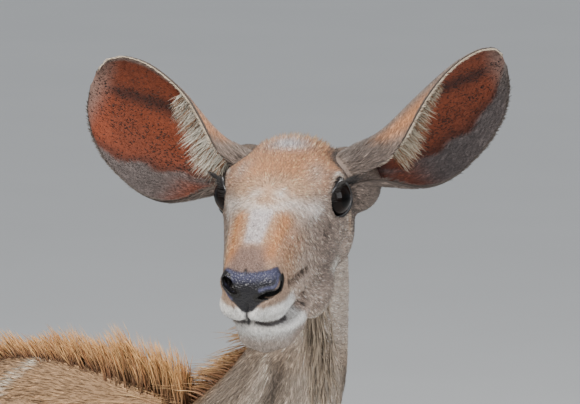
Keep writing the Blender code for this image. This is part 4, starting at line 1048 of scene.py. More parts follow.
def coatLie(points, normals):
    p = coatPlan
    b, h = toBody(points), toHead(points)
    head, neck, tail, leg = shares(b, h)
    way = np.tile(np.array((-0.90, 0.0, -0.40)), (len(b), 1))
    way = steered(way, (-0.40, 0.0, -0.92), ramp(-b[:, 0], 0.55, 0.80))
    way = steered(way, (-0.25, 0.0, -1.0), ramp(b[:, 0], 0.10, 0.26))
    length = np.full(len(b), p["trunkLength"])
    wide = np.full(len(b), p["trunkWide"])
    lift = np.full(len(b), 0.0016)
    way = steered(way, (-0.12, 0.0, -1.0), leg)
    length = blended(length, p["legLength"], leg)
    wide = blended(wide, p["legWide"], leg)
    lift = blended(lift, 0.0011, leg)
    foot = ramp(0.16 - b[:, 2], 0, 0.06)
    length = blended(length, 0.008, foot)
    way = steered(way, (0.0, 0.0, -1.0), tail)
    length = blended(length, 0.020, tail)
    near = neckPlace(b)[2]
    down = -neckAlong[near] + np.array((0, 0, -0.2))
    way = steered(way, down, neck)
    length = blended(length, p["neckLength"], neck)
    wide = blended(wide, p["neckWide"], neck)
    lift = blended(lift, 0.0018, neck)
    if (head > 0).any():
        out = unit(h - whorl)
        out = out + np.array((-0.45, 0, 0)) * ramp(0.04 - h[:, 0], 0, 0.05)[:, None]
        out = (out + np.array((-0.9, 0, 0.0))
               * (ramp(-h[:, 2], 0.02, 0.05) * ramp(0.15 - h[:, 0], 0, 0.05))[:, None])
        headWay = fromHead(out)
        headLong = np.full(len(b), p["cheekLength"])
        headLong = blended(headLong, p["noseLength"], ramp(h[:, 0], 0.10, 0.17))
        top = ramp(h[:, 2], 0.0, 0.03) * ramp(-h[:, 0], 0.02, 0.09)
        headLong = blended(headLong, p["crownLength"], top)
        lip = ramp(h[:, 0], 0.15, 0.18) * ramp(-0.018 - h[:, 2], 0, 0.02)
        headLong = blended(headLong, 0.0042, lip)
        headWide = np.full(len(b), p["cheekWide"])
        headWide = blended(headWide, 0.0008, ramp(h[:, 0], 0.12, 0.18))
        headLift = 0.0008 + 0.0070 * top * ramp(0.050 - np.abs(h[:, 1]), 0.0, 0.02) + 0.0004 * lip
        way = steered(way, headWay, head)
        length = blended(length, headLong, head)
        wide = blended(wide, headWide, head)
        lift = blended(lift, headLift, head)
    return way, length, wide, lift


def bareness(points):
    # 1 where no coat grows: nose pad, lips' edge, eye openings and the mouth
    h = toHead(points)
    bare = noseMask(h)
    bare = np.maximum(bare, ramp(0.0042 - lipGap(h), 0, 0.001))
    for side in (1, -1):
        gap = np.linalg.norm(h - np.array(eyeCentre(side)), axis=1)
        bare = np.maximum(bare, ramp(0.0256 - gap, 0, 0.0004))
        bare = np.maximum(bare, ramp(0.0065 - pathGap(h, face["nostril"][side]), 0, 0.001))
    return bare


def unwrapped(points):
    # the skin's own shape laid flat: along each part, and round it
    b, h = toBody(points), toHead(points)
    head, neck, tail, leg = shares(b, h)
    u = (b[:, 0] + 1.0) / 1.4
    v = np.arctan2(b[:, 1], b[:, 2] - 0.95) / (2 * math.pi) + 0.5
    t, turn, _ = neckPlace(b)
    inNeck = neck > 0.5
    u, v = np.where(inNeck, t / 7.2, u), np.where(inNeck, turn / (2 * math.pi) + 0.5, v)
    inHead = head > 0.5
    u = np.where(inHead, (h[:, 0] + 0.15) / 0.37, u)
    v = np.where(inHead, np.arctan2(h[:, 1], h[:, 2] + 0.03) / (2 * math.pi) + 0.5, v)
    limb = (leg > 0.5) | (tail > 0.5)
    quarter = (b[:, 1] > 0) * 1.0 + (b[:, 0] > -0.2) * 2.0
    around = np.zeros(len(b))
    for foot in steps:
        line = np.array(legStations(foot))[:, :3]
        which = ((b[:, 1] > 0) == foot.endswith("left")) & ((b[:, 0] > -0.2) == foot.startswith("fore"))
        middle = np.interp(b[:, 2], line[::-1, 2], line[::-1, 0])
        turned = np.arctan2(b[:, 1] - line[6, 1], b[:, 0] - middle) / (2 * math.pi) + 0.5
        around = np.where(which, turned, around)
    u = np.where(limb, b[:, 2] / 0.95, u)
    v = np.where(limb, (quarter + around * 0.96 + 0.02) / 4, v)
    return np.column_stack([u, v])


def coatPiece(name, tree, spots, normals, seed):
    draw = np.random.default_rng(seed)
    keep = draw.uniform(0, 1, len(spots)) > bareness(spots)
    spots, normals = spots[keep], normals[keep]
    way, length, wide, lift = coatLie(spots, normals)
    n = len(spots)
    way = unit(way - normals * (way * normals).sum(1, keepdims=True))
    way = unit(way + np.cross(normals, way) * draw.normal(0, 0.16, n)[:, None])
    length = length * draw.uniform(0.72, 1.2, n)
    wide = wide * draw.uniform(0.75, 1.2, n)
    lift = lift * draw.uniform(0.4, 1.7, n)
    middle, middleNormal = nearestOn(tree, spots + way * (length * 0.5)[:, None])
    ahead = unit(way - middleNormal * (way * middleNormal).sum(1, keepdims=True))
    tip, tipNormal = nearestOn(tree, middle + ahead * (length * 0.5)[:, None])
    sink = np.minimum(0.0010, length * 0.12)[:, None]
    paths = np.stack([spots - normals * sink, tip + tipNormal * lift[:, None]], axis=1)
    side = np.cross(normals, way)
    tone = coatTone(spots, normals)
    h = toHead(spots)
    head = shares(toBody(spots), h)[0]
    spread = 0.24 + 0.34 * head * (1 - ramp(h[:, 0], 0.150, 0.170)) * (1 - 0.45 * ramp(h[:, 2], 0.0, 0.03))
    cloud = ripple(spots, 0.0068, seed) * 0.7 + ripple(spots, 0.0034, seed + 1) * 1.1
    tone = tone * np.exp(draw.normal(0, 1, n) * spread + cloud * spread)[:, None]
    # painted shade and light: each blade's root is darkened to half its tone and its tip lightened, standing
    # in for shade between the hairs
    return strands(name, paths, side, wide, tone * 0.50, tone * 1.24, unwrapped(spots), seed)


# Long hair, as curved strands set along a line of the body

longHair = {
    "nape": 3400, "crest": 5000, "throat": 520, "tail": 1500, "tailTip": 420,
    "root": paint(84, 56, 38), "gold": paint(248, 212, 156), "rust": paint(196, 144, 92),
    "pale": paint(230, 218, 198), "throatTone": paint(140, 124, 106),
    "tailTop": paint(128, 92, 60), "tailUnder": paint(226, 216, 200),
    "napeLong": [(2.0, 0.074), (3.5, 0.070), (5.0, 0.060), (6.2, 0.050), (6.9, 0.034)],
    "crestLong": [(-0.22, 0.070), (-0.15, 0.066), (-0.10, 0.054), (-0.05, 0.045), (0.0, 0.039), (0.1, 0.034),
                  (0.5, 0.026), (0.9, 0.020)],
    "throatLong": [(3.0, 0.020), (4.5, 0.034), (5.6, 0.040), (6.1, 0.028)],
    "fullShape": (0.75, 1.0, 1.0, 0.8, 0.5), "shortShape": (0.8, 1.0, 0.9, 0.6), "thick": 0.35,
}


def locked(place, size, seed):
    # hairs fall into locks: a shared draw for each, and how far each hair is from the middle of its own
    draw = np.random.default_rng(seed)
    lock = np.floor(place / size).astype(int)
    lock -= lock.min()
    return draw.normal(0, 1, (lock.max() + 1, 3))[lock], place / size - np.floor(place / size) - 0.5


def curved(roots, way, droop, length, count=6, wave=0.0, seed=0):
    # paths that leave along way and bend towards droop, as far as length
    draw = np.random.default_rng(seed)
    share = np.linspace(0, 1, count)
    share[0] = -0.03
    n = len(roots)
    paths = roots[:, None, :] + way[:, None, :] * (length[:, None] * share)[:, :, None]
    paths = paths + droop[:, None, :] * (length[:, None] * np.clip(share, 0, 1) ** 1.7 * 0.5)[:, :, None]
    if wave:
        sway = np.sin(share[None, :] * draw.uniform(3, 7, n)[:, None] + draw.uniform(0, 6.28, n)[:, None])
        across = unit(np.cross(way, droop + 1e-6))
        paths = (paths
                 + across[:, None, :] * (sway * length[:, None] * wave * np.clip(share, 0, 1))[:, :, None])
    return paths


def napeHair(tree):
    draw = np.random.default_rng(31)
    n = longHair["nape"]
    t = 6.85 - 4.75 * draw.uniform(0, 1, n)
    turn = np.radians(90 + draw.normal(0, 8.5, n))
    roots, out, along, left = [], [], [], []
    for at, angle in zip(t, turn):
        centre, _, ahead, aside, _ = neckFrames[int(round(at * neckEach))]
        spot = tubePoint(neckStations, at, angle)
        roots.append(spot)
        out.append((spot - centre) / np.linalg.norm(spot - centre))
        along.append(ahead)
        left.append(aside)
    roots, out, along, left = map(np.array, (roots, out, along, left))
    roots, normals = nearestOn(tree, roots + shiftArray)
    shared, off = locked(t + draw.normal(0, 0.02, n), 0.11, 34)
    length = valueAt(longHair["napeLong"], t) * draw.uniform(0.6, 1.15, n)
    length *= 1 + 0.10 * shared[:, 0]
    way = unit(out * 0.95 - along * (0.35 + 0.10 * shared[:, 1] + 0.16 * off)[:, None]
               + left * (0.13 * draw.normal(0, 1, n) + 0.10 * shared[:, 2])[:, None]
               + draw.normal(0, 0.05, (n, 3)))
    droop = -along * 0.45 + np.array((0, 0, -0.35)) + draw.normal(0, 0.10, (n, 3))
    paths = curved(roots - normals * 0.002, way, droop, length, 6, 0.05, 32)
    tone = longHair["root"] * draw.uniform(1.2, 2.6, n)[:, None]
    tip = longHair["gold"] + (longHair["rust"] - longHair["gold"]) * draw.uniform(0, 1, n)[:, None] ** 1.3
    side = unit(np.cross(normals, way) + along * 0.4)
    return strands("napeMane", paths, side, draw.uniform(0.0009, 0.0019, n), tone, tip, unwrapped(roots), 33,
                   longHair["thick"], longHair["fullShape"], 1.7)


def crestHair(tree):
    draw = np.random.default_rng(41)
    n = longHair["crest"]
    x = 0.215 - 1.10 * draw.uniform(0, 1, n) ** 1.25
    t = np.interp(x, [s[0] for s in trunkStations], range(len(trunkStations)))
    share = np.clip((0.05 - x) / 0.56, 0, 1)
    spread = draw.normal(0, 1, n)
    roots = np.array([tubePoint(trunkStations, t[k],
                                math.radians(90 + 4.0 * spread[k] * (1 - 0.5 * share[k])), 2.15)
                      for k in range(n)])
    roots, normals = nearestOn(tree, roots + shiftArray)
    length = valueAt(longHair["crestLong"], -x) * draw.uniform(0.55, 1.12, n)
    shared, off = locked(x + draw.normal(0, 0.0015, n), 0.0125, 44)
    length *= 1 + 0.12 * shared[:, 0]
    back = -0.95 * np.clip(0.08 + 5.0 * np.clip(0.190 - x, 0, 9), 0, 1) + 0.10 * shared[:, 1] - 0.18 * off
    way = (np.column_stack([back, 0.10 * spread + 0.10 * shared[:, 2], 1.0 - 0.35 * share])
           + draw.normal(0, 0.07, (n, 3)))
    droop = np.tile((-0.45, 0.0, -0.10), (n, 1)) + draw.normal(0, 0.12, (n, 3))
    paths = curved(roots - normals * 0.002, unit(way), droop, length, 6, 0.04, 42)
    tone = longHair["root"] * draw.uniform(0.7, 1.5, n)[:, None]
    tip = longHair["gold"] + (longHair["rust"] - longHair["gold"]) * draw.uniform(0, 1, n)[:, None] ** 1.5
    tip = tip * (0.98, 0.82, 0.64)
    pale = ramp(-x, 0.10, 0.30)[:, None]
    tip = tip + (longHair["pale"] - tip) * pale * draw.uniform(0.5, 1.0, n)[:, None]
    tone = tone + (tones["back"] - tone) * pale * 0.6
    side = np.column_stack([np.ones(n), draw.normal(0, 0.5, n), np.full(n, 0.2)])
    return strands("withersCrest", paths, unit(side), draw.uniform(0.0010, 0.0021, n), tone, tip,
                   unwrapped(roots), 43, longHair["thick"], longHair["fullShape"], 1.7)


def throatHair(tree):
    draw = np.random.default_rng(51)
    n = longHair["throat"]
    t = 6.1 - 3.0 * draw.uniform(0, 1, n) ** 1.2
    turn = np.radians(-90 + draw.normal(0, 9, n))
    roots = np.array([tubePoint(neckStations, t[k], turn[k]) for k in range(n)])
    along = neckAlong[np.clip((t * neckEach).astype(int), 0, len(neckAlong) - 1)]
    roots, normals = nearestOn(tree, roots + shiftArray)
    length = valueAt(longHair["throatLong"], t) * draw.uniform(0.6, 1.1, n)
    way = unit(normals * 0.5 - along * 0.85 + draw.normal(0, 0.12, (n, 3)))
    paths = curved(roots - normals * 0.002, way, -normals * 0.3 + np.array((0, 0, -0.3)), length, 5, 0.04, 52)
    tone = longHair["throatTone"] * draw.uniform(0.5, 1.2, n)[:, None]
    return strands("throatFringe", paths, np.cross(normals, way), draw.uniform(0.0010, 0.0020, n), tone * 0.6,
                   tone * 1.5, unwrapped(roots), 53, longHair["thick"], longHair["shortShape"])


def tailHair(tree):
    draw = np.random.default_rng(61)
    n = longHair["tail"]
    t = 1.2 + 3.7 * draw.uniform(0, 1, n)
    turn = draw.uniform(0, 2 * math.pi, n)
    roots = np.array([tubePoint(tailStations, t[k], turn[k]) for k in range(n)])
    roots, normals = nearestOn(tree, roots + shiftArray)
    flat = np.abs(np.cos(turn))
    length = (0.030 + 0.045 * flat * ramp(t, 1.2, 2.4)) * draw.uniform(0.7, 1.1, n)
    way = unit(normals * (0.10 + 0.28 * flat)[:, None] + np.array((0, 0, -1.0))
               + draw.normal(0, 0.05, (n, 3)))
    paths = curved(roots - normals * 0.001, way, -normals * 0.25 + np.array((0, 0, -0.1)), length,
                   5, 0.03, 62)
    under = ramp(normals[:, 0], -0.3, 0.5) * 0.6 + flat * 0.5
    tone = stain(np.tile(longHair["tailTop"], (n, 1)), under, longHair["tailUnder"])
    tone = tone * draw.uniform(0.8, 1.1, n)[:, None]
    low = ramp(t, 4.2, 4.9)
    tone = stain(tone, low, tones["black"])
    upper = strands("tailFringe", paths, np.cross(normals, way), draw.uniform(0.0014, 0.0026, n),
                    tone * 0.75, tone,
                    unwrapped(roots), 63, longHair["thick"], longHair["shortShape"])
    n = longHair["tailTip"]
    turn = draw.uniform(0, 2 * math.pi, n)
    end = np.array(tailStations[-1][:3]) + shiftArray
    roots = end + np.column_stack([np.sin(turn) * 0.005, np.cos(turn) * 0.005, draw.uniform(0.0, 0.045, n)])
    way = unit(np.column_stack([0.14 * np.sin(turn), 0.20 * np.cos(turn), np.full(n, -1.0)])
               + draw.normal(0, 0.04, (n, 3)))
    length = draw.uniform(0.06, 0.10, n)
    droop = -np.column_stack([0.2 * np.sin(turn), 0.3 * np.cos(turn), np.full(n, 0.1)])
    paths = curved(roots, way, droop, length, 5, 0.03, 64)
    black = np.tile(tones["black"], (n, 1)) * draw.uniform(0.7, 1.6, n)[:, None]
    side = np.column_stack([np.cos(turn), np.sin(turn), np.zeros(n)])
    tip = strands("tailTip", paths, side, draw.uniform(0.0014, 0.0026, n), black, black * 1.3,
                  unwrapped(roots), 65,
                  longHair["thick"], longHair["shortShape"])
    return [upper, tip]


# Ears: t runs from root to tip, v from the upper or front edge to the lower one

earPlan = {
    "length": 0.216, "root": {1: (-0.088, 0.055, 0.005), -1: (-0.083, -0.050, -0.006)},
    "lean": {1: (-0.60, 0.74, 0.30), -1: (-0.312, -0.889, 0.335)},
    "turn": {1: math.radians(18), -1: math.radians(-10)},
    "half": [(-0.10, 0.052), (0.0, 0.058), (0.10, 0.066), (0.22, 0.075), (0.42, 0.0805), (0.60, 0.077),
             (0.78, 0.066), (0.90, 0.048), (0.97, 0.027), (1.0, 0.009)],
    "curl": {1: [(-0.10, 5.7), (0.0, 5.6), (0.10, 5.2), (0.22, 4.2), (0.40, 3.0), (0.6, 2.2), (0.8, 1.8),
                 (1.0, 1.5)],
             -1: [(-0.10, 5.6), (0.0, 5.4), (0.10, 4.7), (0.22, 3.5), (0.40, 2.4), (0.6, 1.8), (0.8, 1.5),
                  (1.0, 1.2)]},
    "sag": [(-0.10, 0.000), (0.0, 0.003), (0.20, 0.016), (0.45, 0.016), (0.75, 0.008), (1.0, 0.0)],
    "wall": [(-0.16, 0.0050), (0.2, 0.0046), (0.6, 0.0032), (1.0, 0.0022)], "bow": 0.008,
    # cavity is the rust of the inside of the cup, darkened with painted shade; deep is a dark red-brown used
    # for the band and, towards the root of the cup, as painted shade
    "cavity": paint(90, 40, 20), "deep": paint(38, 16, 10), "lobe": paint(84, 76, 74),
    "rim": paint(60, 52, 47),
    "lobeEdge": {1: [(-0.1, 0.25), (0.2, 0.42), (0.38, 0.50), (0.56, 0.56), (0.72, 0.62), (0.87, 0.55),
                     (1.0, 0.5)],
                 -1: [(-0.1, 0.28), (0.24, 0.33), (0.31, 0.37), (0.45, 0.53), (0.56, 0.62), (0.68, 0.82),
                      (0.82, 1.0),
                      (1.0, 1.15)]},
    "back": paint(112, 102, 95), "edge": paint(164, 112, 72), "fringe": paint(232, 224, 206),
    "speck": paint(24, 18, 16), "brown": paint(128, 88, 56), "edgePale": paint(206, 190, 168),
    "edgeDark": paint(88, 80, 74),
    "fringeLong": [(0.02, 0.022), (0.12, 0.034), (0.28, 0.034), (0.42, 0.024), (0.56, 0.014)],
    "backHair": 17000, "insideHair": 13000, "fringeHair": 1500, "rimHair": 1500,
}


def earAxes(side):
    along = unit(np.array(earPlan["lean"][side]))
    cup = unit(np.array((1.0, 0, 0)) - along * along[0])
    across = np.cross(along, cup) * side
    turn = earPlan["turn"][side]
    return (along, cup * math.cos(turn) + across * math.sin(turn),
            across * math.cos(turn) - cup * math.sin(turn))


def earSheet(side, t, v):
    p = earPlan
    along, cup, across = earAxes(side)
    half, curl, sag = (valueAt(k, t) for k in (p["half"], p["curl"][side], p["sag"]))
    angle, roundBy = v * curl / 2, half / (curl / 2)
    spine = np.array(p["root"][side]) + np.outer(p["length"] * t, along) + np.outer(sag, across)
    spine = spine - np.outer(p["bow"] * np.sin(np.pi * np.clip(t, 0, 1)), cup)
    return spine + np.outer(np.sin(angle) * roundBy, across) + np.outer((1 - np.cos(angle)) * roundBy, cup)


def earSurface(side, t, v, face):
    # face 1 is inside the cup and -1 the back; gives points, outward ways, and ways to tip and lower edge
    e = 0.004
    spot = earSheet(side, t, v)
    alongTip = unit(earSheet(side, np.minimum(t + e, 1), v) - earSheet(side, np.minimum(t + e, 1) - 2 * e, v))
    low = unit(earSheet(side, t, v + e) - earSheet(side, t, v - e))
    way = -unit(np.cross(alongTip, low)) * side
    wall = valueAt(earPlan["wall"], t) * (1 - 0.45 * np.clip(np.abs(v), 0, 1) ** 4)
    fold = 0.0011 * np.sin(v * 11 + 2.5 * t) * hump(t, 0.40, 0.26) * (1 - np.abs(v)) if face > 0 else 0.0
    spot = spot + way * (face * wall / 2 + fold)[:, None]
    return fromHead(spot) + headPlaceArray, fromHead(way) * face, fromHead(alongTip), fromHead(low)


def earTone(side, t, v, face):
    p = earPlan
    n = len(t)
    place = np.column_stack([t * 0.216, v * 0.08, np.zeros(n)])
    if face > 0:
        # the inside's rust, darkened as painted shade
        colour = np.tile(p["cavity"], (n, 1))
        colour = stain(colour, 0.25 + 0.5 * ripple(place, 0.06, 12), p["cavity"] * 1.35)
        # painted shade: darker towards the root of the cup
        colour = stain(colour, ramp(0.30 - t, 0.0, 0.22), p["deep"])
        band = hump(v, -0.40 + 0.90 * (t - 0.5), 0.15) * ramp(t, 0.25, 0.45) * ramp(0.97 - t, 0.0, 0.12)
        colour = stain(colour, band * 0.85, p["deep"])
        limit = valueAt(p["lobeEdge"][side], t) + 0.03 * np.sin(t * 31)
        lobe = ramp(v - limit, -0.03, 0.05)
        colour = layered(colour, [
            (hump(v - limit, -0.05, 0.07) * 0.6 * ramp(t, 0.15, 0.3), p["deep"]),
            (lobe * ramp(t, 0.10, 0.18), p["lobe"]),
            (lobe * hump(t, 0.21, 0.11) * ramp(v, 0.35, 0.55) * 0.8, p["cavity"] * 1.3),
            (ramp(-v, 0.84, 0.93) * 0.75, p["back"]),
            (ramp(t, 0.86, 0.99) * 0.6, p["back"] * 0.85),
        ])
        return colour
    colour = np.tile(p["back"], (n, 1))
    turned = v * valueAt(p["curl"][side], t) / 2
    colour = layered(colour, [
        (hump(turned, -1.55, 0.36) * 0.85 * ramp(t, 0.04, 0.16), p["edge"]),
        (ramp(v, 0.985, 1.0) * 0.5, p["rim"]),
        (ramp(v, 0.3, 0.9) * 0.4, p["lobe"]),
    ])
    base = ramp(0.34 - t, 0.0, 0.24) * (1 - 0.5 * hump(turned, -1.55, 0.5))
    colour = stain(colour, base * 0.85, tones["pepper"] * 0.66)
    return colour


def earBody(side):
    rows, cols = 72, 56
    t = -0.10 + 1.10 * (1 - (1 - np.linspace(0, 1, rows + 1)) ** 1.4)
    t, v = (k.ravel() for k in np.meshgrid(t, np.linspace(-1, 1, cols + 1), indexing="ij"))
    inner, outer = earSurface(side, t, v, 1)[0], earSurface(side, t, v, -1)[0]
    wide, count = cols + 1, len(inner)
    faces = []
    for r in range(rows):
        for c in range(cols):
            a, b, d, e = r * wide + c, r * wide + c + 1, (r + 1) * wide + c + 1, (r + 1) * wide + c
            faces += [(a, b, d, e), (a + count, e + count, d + count, b + count)]
    rim = list(range(wide)) + [r * wide + cols for r in range(1, rows + 1)]
    rim += [rows * wide + c for c in range(cols - 1, -1, -1)] + [r * wide for r in range(rows - 1, 0, -1)]
    for k, a in enumerate(rim):
        b = rim[(k + 1) % len(rim)]
        faces.append((a, a + count, b + count, b))
    ear = meshObject("ear" + sideWord(side), np.concatenate([inner, outer]), faces)
    outward(ear)
    tone = np.concatenate([earTone(side, t, v, 1), earTone(side, t, v, -1)])
    edge = ramp(np.abs(np.concatenate([v, v])), 0.975, 1.0)
    tone = stain(tone, ramp(0.10 - np.concatenate([t, t]), 0.0, 0.08), tones["pepper"] * 0.6)
    attribute(ear.data, "tone", "FLOAT_COLOR", np.clip(stain(tone, edge, earPlan["rim"]), 0, 1))
    attribute(ear.data, "wet", "FLOAT", np.zeros(len(tone)))
    smoothed(ear)
    return ear


def earUv(t, v, face):
    return np.column_stack([0.02 + 0.46 * (v * 0.5 + 0.5) + (0.5 if face > 0 else 0.0),
                            np.clip(t, 0, 1) * 0.94 + 0.02])


def earFur(side):
    p = earPlan
    word = sideWord(side)
    made = []
    for face, many, seed in ((-1, p["backHair"], 71), (1, p["insideHair"], 73)):
        draw = np.random.default_rng(seed + side)
        t = draw.uniform(0.0 if face > 0 else -0.07, 0.995, many * 2)
        v = draw.uniform(-0.99, 0.99, many * 2)
        keep = draw.uniform(0, 1, many * 2) < valueAt(p["half"], t) / 0.081
        t, v = t[keep][:many], v[keep][:many]
        spot, way, tipWay, lowWay = earSurface(side, t, v, face)
        n = len(t)
        tone = earTone(side, t, v, face)
        speck = np.zeros(n)
        if face > 0:
            lobe = ramp(v - valueAt(p["lobeEdge"][side], t), -0.03, 0.05)
            band = (np.maximum(hump(v, -0.40 + 0.90 * (t - 0.5), 0.20), hump(v, 0.26, 0.24))
                    * ramp(t, 0.22, 0.40))
            speck = (draw.uniform(0, 1, n) < 0.02 + band * 0.16) * (1 - lobe)
            length = (0.0055 + 0.003 * lobe) * draw.uniform(0.6, 1.2, n)
            wide = draw.uniform(0.0006, 0.0011, n) * (1 + 1.0 * speck + 0.4 * lobe)
            length = np.where(speck > 0.5, 0.0028, length)
            wide = np.where(speck > 0.5, 0.0019, wide)
            thin = (lobe > 0.3) | (speck > 0.5) | (draw.uniform(0, 1, n) < 0.35)
            lean = tipWay * 0.9 + lowWay * draw.normal(0.1, 0.3, n)[:, None]
            lift = 0.0016
        else:
            base = ramp(0.24 - t, 0.0, 0.20)
            length = (0.0070 + 0.0075 * base) * draw.uniform(0.7, 1.2, n)
            wide = draw.uniform(0.0009, 0.0015, n)
            thin = np.ones(n, bool)
            lean = tipWay + lowWay * draw.normal(0, 0.18, n)[:, None]
            lift = (0.0008 + 0.0022 * base)[:, None]
        lean = unit(lean)
        tone = tone * np.exp(draw.normal(0, 1, n) * np.where(t < 0.34, 0.45, 0.24))[:, None]
        tone = np.where(speck[:, None] > 0.5, p["speck"], tone)
        paths = np.stack([spot - way * 0.0006, spot + lean * length[:, None] + way * lift], axis=1)
        keep = thin & (t + length / p["length"] < 0.995 + 0.01)
        uv = earUv(t, v, face)
        name = ("earDown" if face > 0 else "earVelvet") + word
        made.append(strands(name, paths[keep], np.cross(way, lean)[keep], wide[keep], (tone * 0.75)[keep],
                            (tone * 1.15)[keep], uv[keep], seed + side))

    # the long pale fringe of the front edge lies over the cup, and short hair edges the rim
    draw = np.random.default_rng(77 + side)
    n = p["fringeHair"]
    t = draw.uniform(*((0.07, 0.47) if side < 0 else (0.17, 0.57)), n)
    v = -0.995 + 0.18 * draw.uniform(0, 1, n) ** 1.5
    spot, way, tipWay, lowWay = earSurface(side, t, v, 1)
    length = valueAt(p["fringeLong"], t) * draw.uniform(0.40, 1.20, n) * (1.0 if side < 0 else 0.80)
    along, cup, across = earAxes(side)
    lean = fromHead(across + along * (0.16 if side < 0 else 0.32) + cup * 0.30) + draw.normal(0, 0.20, (n, 3))
    droop = fromHead(np.tile(along * 0.25 - cup * 0.25 + np.array((0.0, 0.0, -0.25)), (n, 1)))
    paths = curved(spot - way * 0.001, unit(lean), droop, length, 5, 0.05, 78 + side)
    tone = np.tile(p["fringe"] if side < 0 else p["fringe"] * (0.80, 0.74, 0.66), (n, 1))
    tone = tone * draw.uniform(0.45, 0.95, n)[:, None]
    brown = (draw.uniform(0, 1, n) < (0.40 if side > 0 else 0.26))[:, None]
    tone = np.where(brown, p["brown"] * 1.1, tone)
    made.append(strands("earFringe" + word, paths, np.cross(way, lean), draw.uniform(0.0005, 0.0009, n),
                        tone * 0.40, tone, earUv(t, v, 1), 79 + side, longHair["thick"],
                        (0.8, 1.0, 0.85, 0.5)))
    n = p["rimHair"]
    edge = draw.uniform(-1, 1, n)
    t = -0.06 + 1.05 * np.abs(edge)
    v = np.sign(edge) * 0.995
    spot, way, tipWay, lowWay = earSurface(side, t, v, 1)
    length = draw.uniform(0.003, 0.0075, n)
    lean = unit(lowWay * (np.sign(edge) * 0.55)[:, None] + tipWay * 0.7 + way * 0.25
                + draw.normal(0, 0.12, (n, 3)))
    paths = curved(spot - lean * 0.0012, lean, way * 0.2, length, 4, 0.0, 80 + side)
    tone = np.where(edge[:, None] < 0, p["edgePale"], p["edgeDark"]) * draw.uniform(0.7, 1.1, n)[:, None]
    tone = stain(tone, ramp(0.14 - t, 0.0, 0.08), tones["pepper"] * 0.7)
    made.append(strands("earEdge" + word, paths, np.cross(way, lean), draw.uniform(0.0006, 0.0011, n),
                        tone * 0.8, tone, earUv(t, v, 1), 81 + side, longHair["thick"], (0.9, 1.0, 0.7)))
    return made


# Eyes, lids and lashes

eyePlan = {
    "lid": 0.0016, "lashes": 110, "lashLength": 0.0150, "lashWide": 0.00055,
    "pupil": paint(6, 5, 5), "iris": paint(20, 12, 9), "white": paint(34, 27, 25), "lash": paint(22, 18, 17),
}


def makeEye(side):
    bpy.ops.mesh.primitive_uv_sphere_add(segments=64, ring_count=48, radius=pose["eyeRadius"] - 0.0001)
    eye = bpy.context.object
    eye.name = "eyeball" + sideWord(side)
    gaze = eyeGaze(side)
    turn = Vector((0, 0, 1)).rotation_difference(gaze).to_matrix().to_4x4()
    eye.data.transform(headMatrix @ Matrix.Translation(eyeCentre(side)) @ turn)
    h = unit(toHead(pointsOf(eye)) - np.array(eyeCentre(side)))
    away = np.arccos(np.clip(h @ np.array(gaze), -1, 1))
    colour = np.tile(eyePlan["pupil"], (len(h), 1))
    iris = ramp(away, 0.30, 0.42) * ramp(0.86 - away, 0.0, 0.12)
    colour = stain(colour, iris * (0.55 + 0.45 * ramp(-h[:, 2], -0.1, 0.35)), eyePlan["iris"])
    colour = stain(colour, ramp(away, 0.95, 1.08) * 0.5, eyePlan["white"])
    attribute(eye.data, "tone", "FLOAT_COLOR", colour)
    smoothed(eye)
    return eye


def lidRim(side):
    count, around = 72, 12
    reach = pose["eyeRadius"] + 0.0008
    line = np.array([lidSpot(side, 2 * math.pi * k / count, 1.0, reach) for k in range(count)])
    centre = np.array(eyeCentre(side))
    points, faces = [], []
    for k in range(count):
        along = unit(line[(k + 1) % count] - line[k - 1])
        out = unit(line[k] - centre)
        low = np.cross(along, out)
        upper = max(0.0, -math.sin(2 * math.pi * k / count))
        for j in range(around):
            b = 2 * math.pi * j / around
            radius = eyePlan["lid"] * (1 + 0.35 * upper)
            points.append(line[k] + (out * math.cos(b) + low * math.sin(b)) * radius)
    for k in range(count):
        for j in range(around):
            a, b = k * around + j, k * around + (j + 1) % around
            c, d = ((k + 1) % count) * around + (j + 1) % around, ((k + 1) % count) * around + j
            faces.append((a, b, c, d))
    lid = meshObject("lid" + sideWord(side), np.array(points) @ headTurnArray.T + headPlaceArray, faces)
    outward(lid)
    smoothed(lid)
    return lid


def lashes(side):
    draw = np.random.default_rng(91 + side)
    n = eyePlan["lashes"]
    a = np.radians(draw.uniform(188, 318, n))
    roots = np.array([lidSpot(side, k, 1.02, pose["eyeRadius"] + 0.0014) for k in a])
    out = unit(roots - np.array(eyeCentre(side)))
    back = np.array((-0.30, 0.95 * side, -0.22))
    length = (eyePlan["lashLength"] * draw.uniform(0.6, 1.15, n)
              * (0.7 + 0.5 * hump(a, math.radians(215), 0.7)))
    way = unit(out * 0.7 + back + draw.normal(0, 0.09, (n, 3)))
    droop = np.tile((-0.3, 0.2 * side, 0.10), (n, 1))
    paths = curved(roots, way, droop, length, 5)
    paths = paths @ headTurnArray.T + headPlaceArray
    tone = np.tile(eyePlan["lash"], (n, 1))
    uv = np.column_stack([np.linspace(0.1, 0.9, n), np.full(n, 0.5)])
    return strands("lashes" + sideWord(side), paths, fromHead(np.cross(out, way)),
                   np.full(n, eyePlan["lashWide"]), tone, tone, uv, 92, 0.8, (1.0, 1.0, 0.8, 0.5))


# Hooves


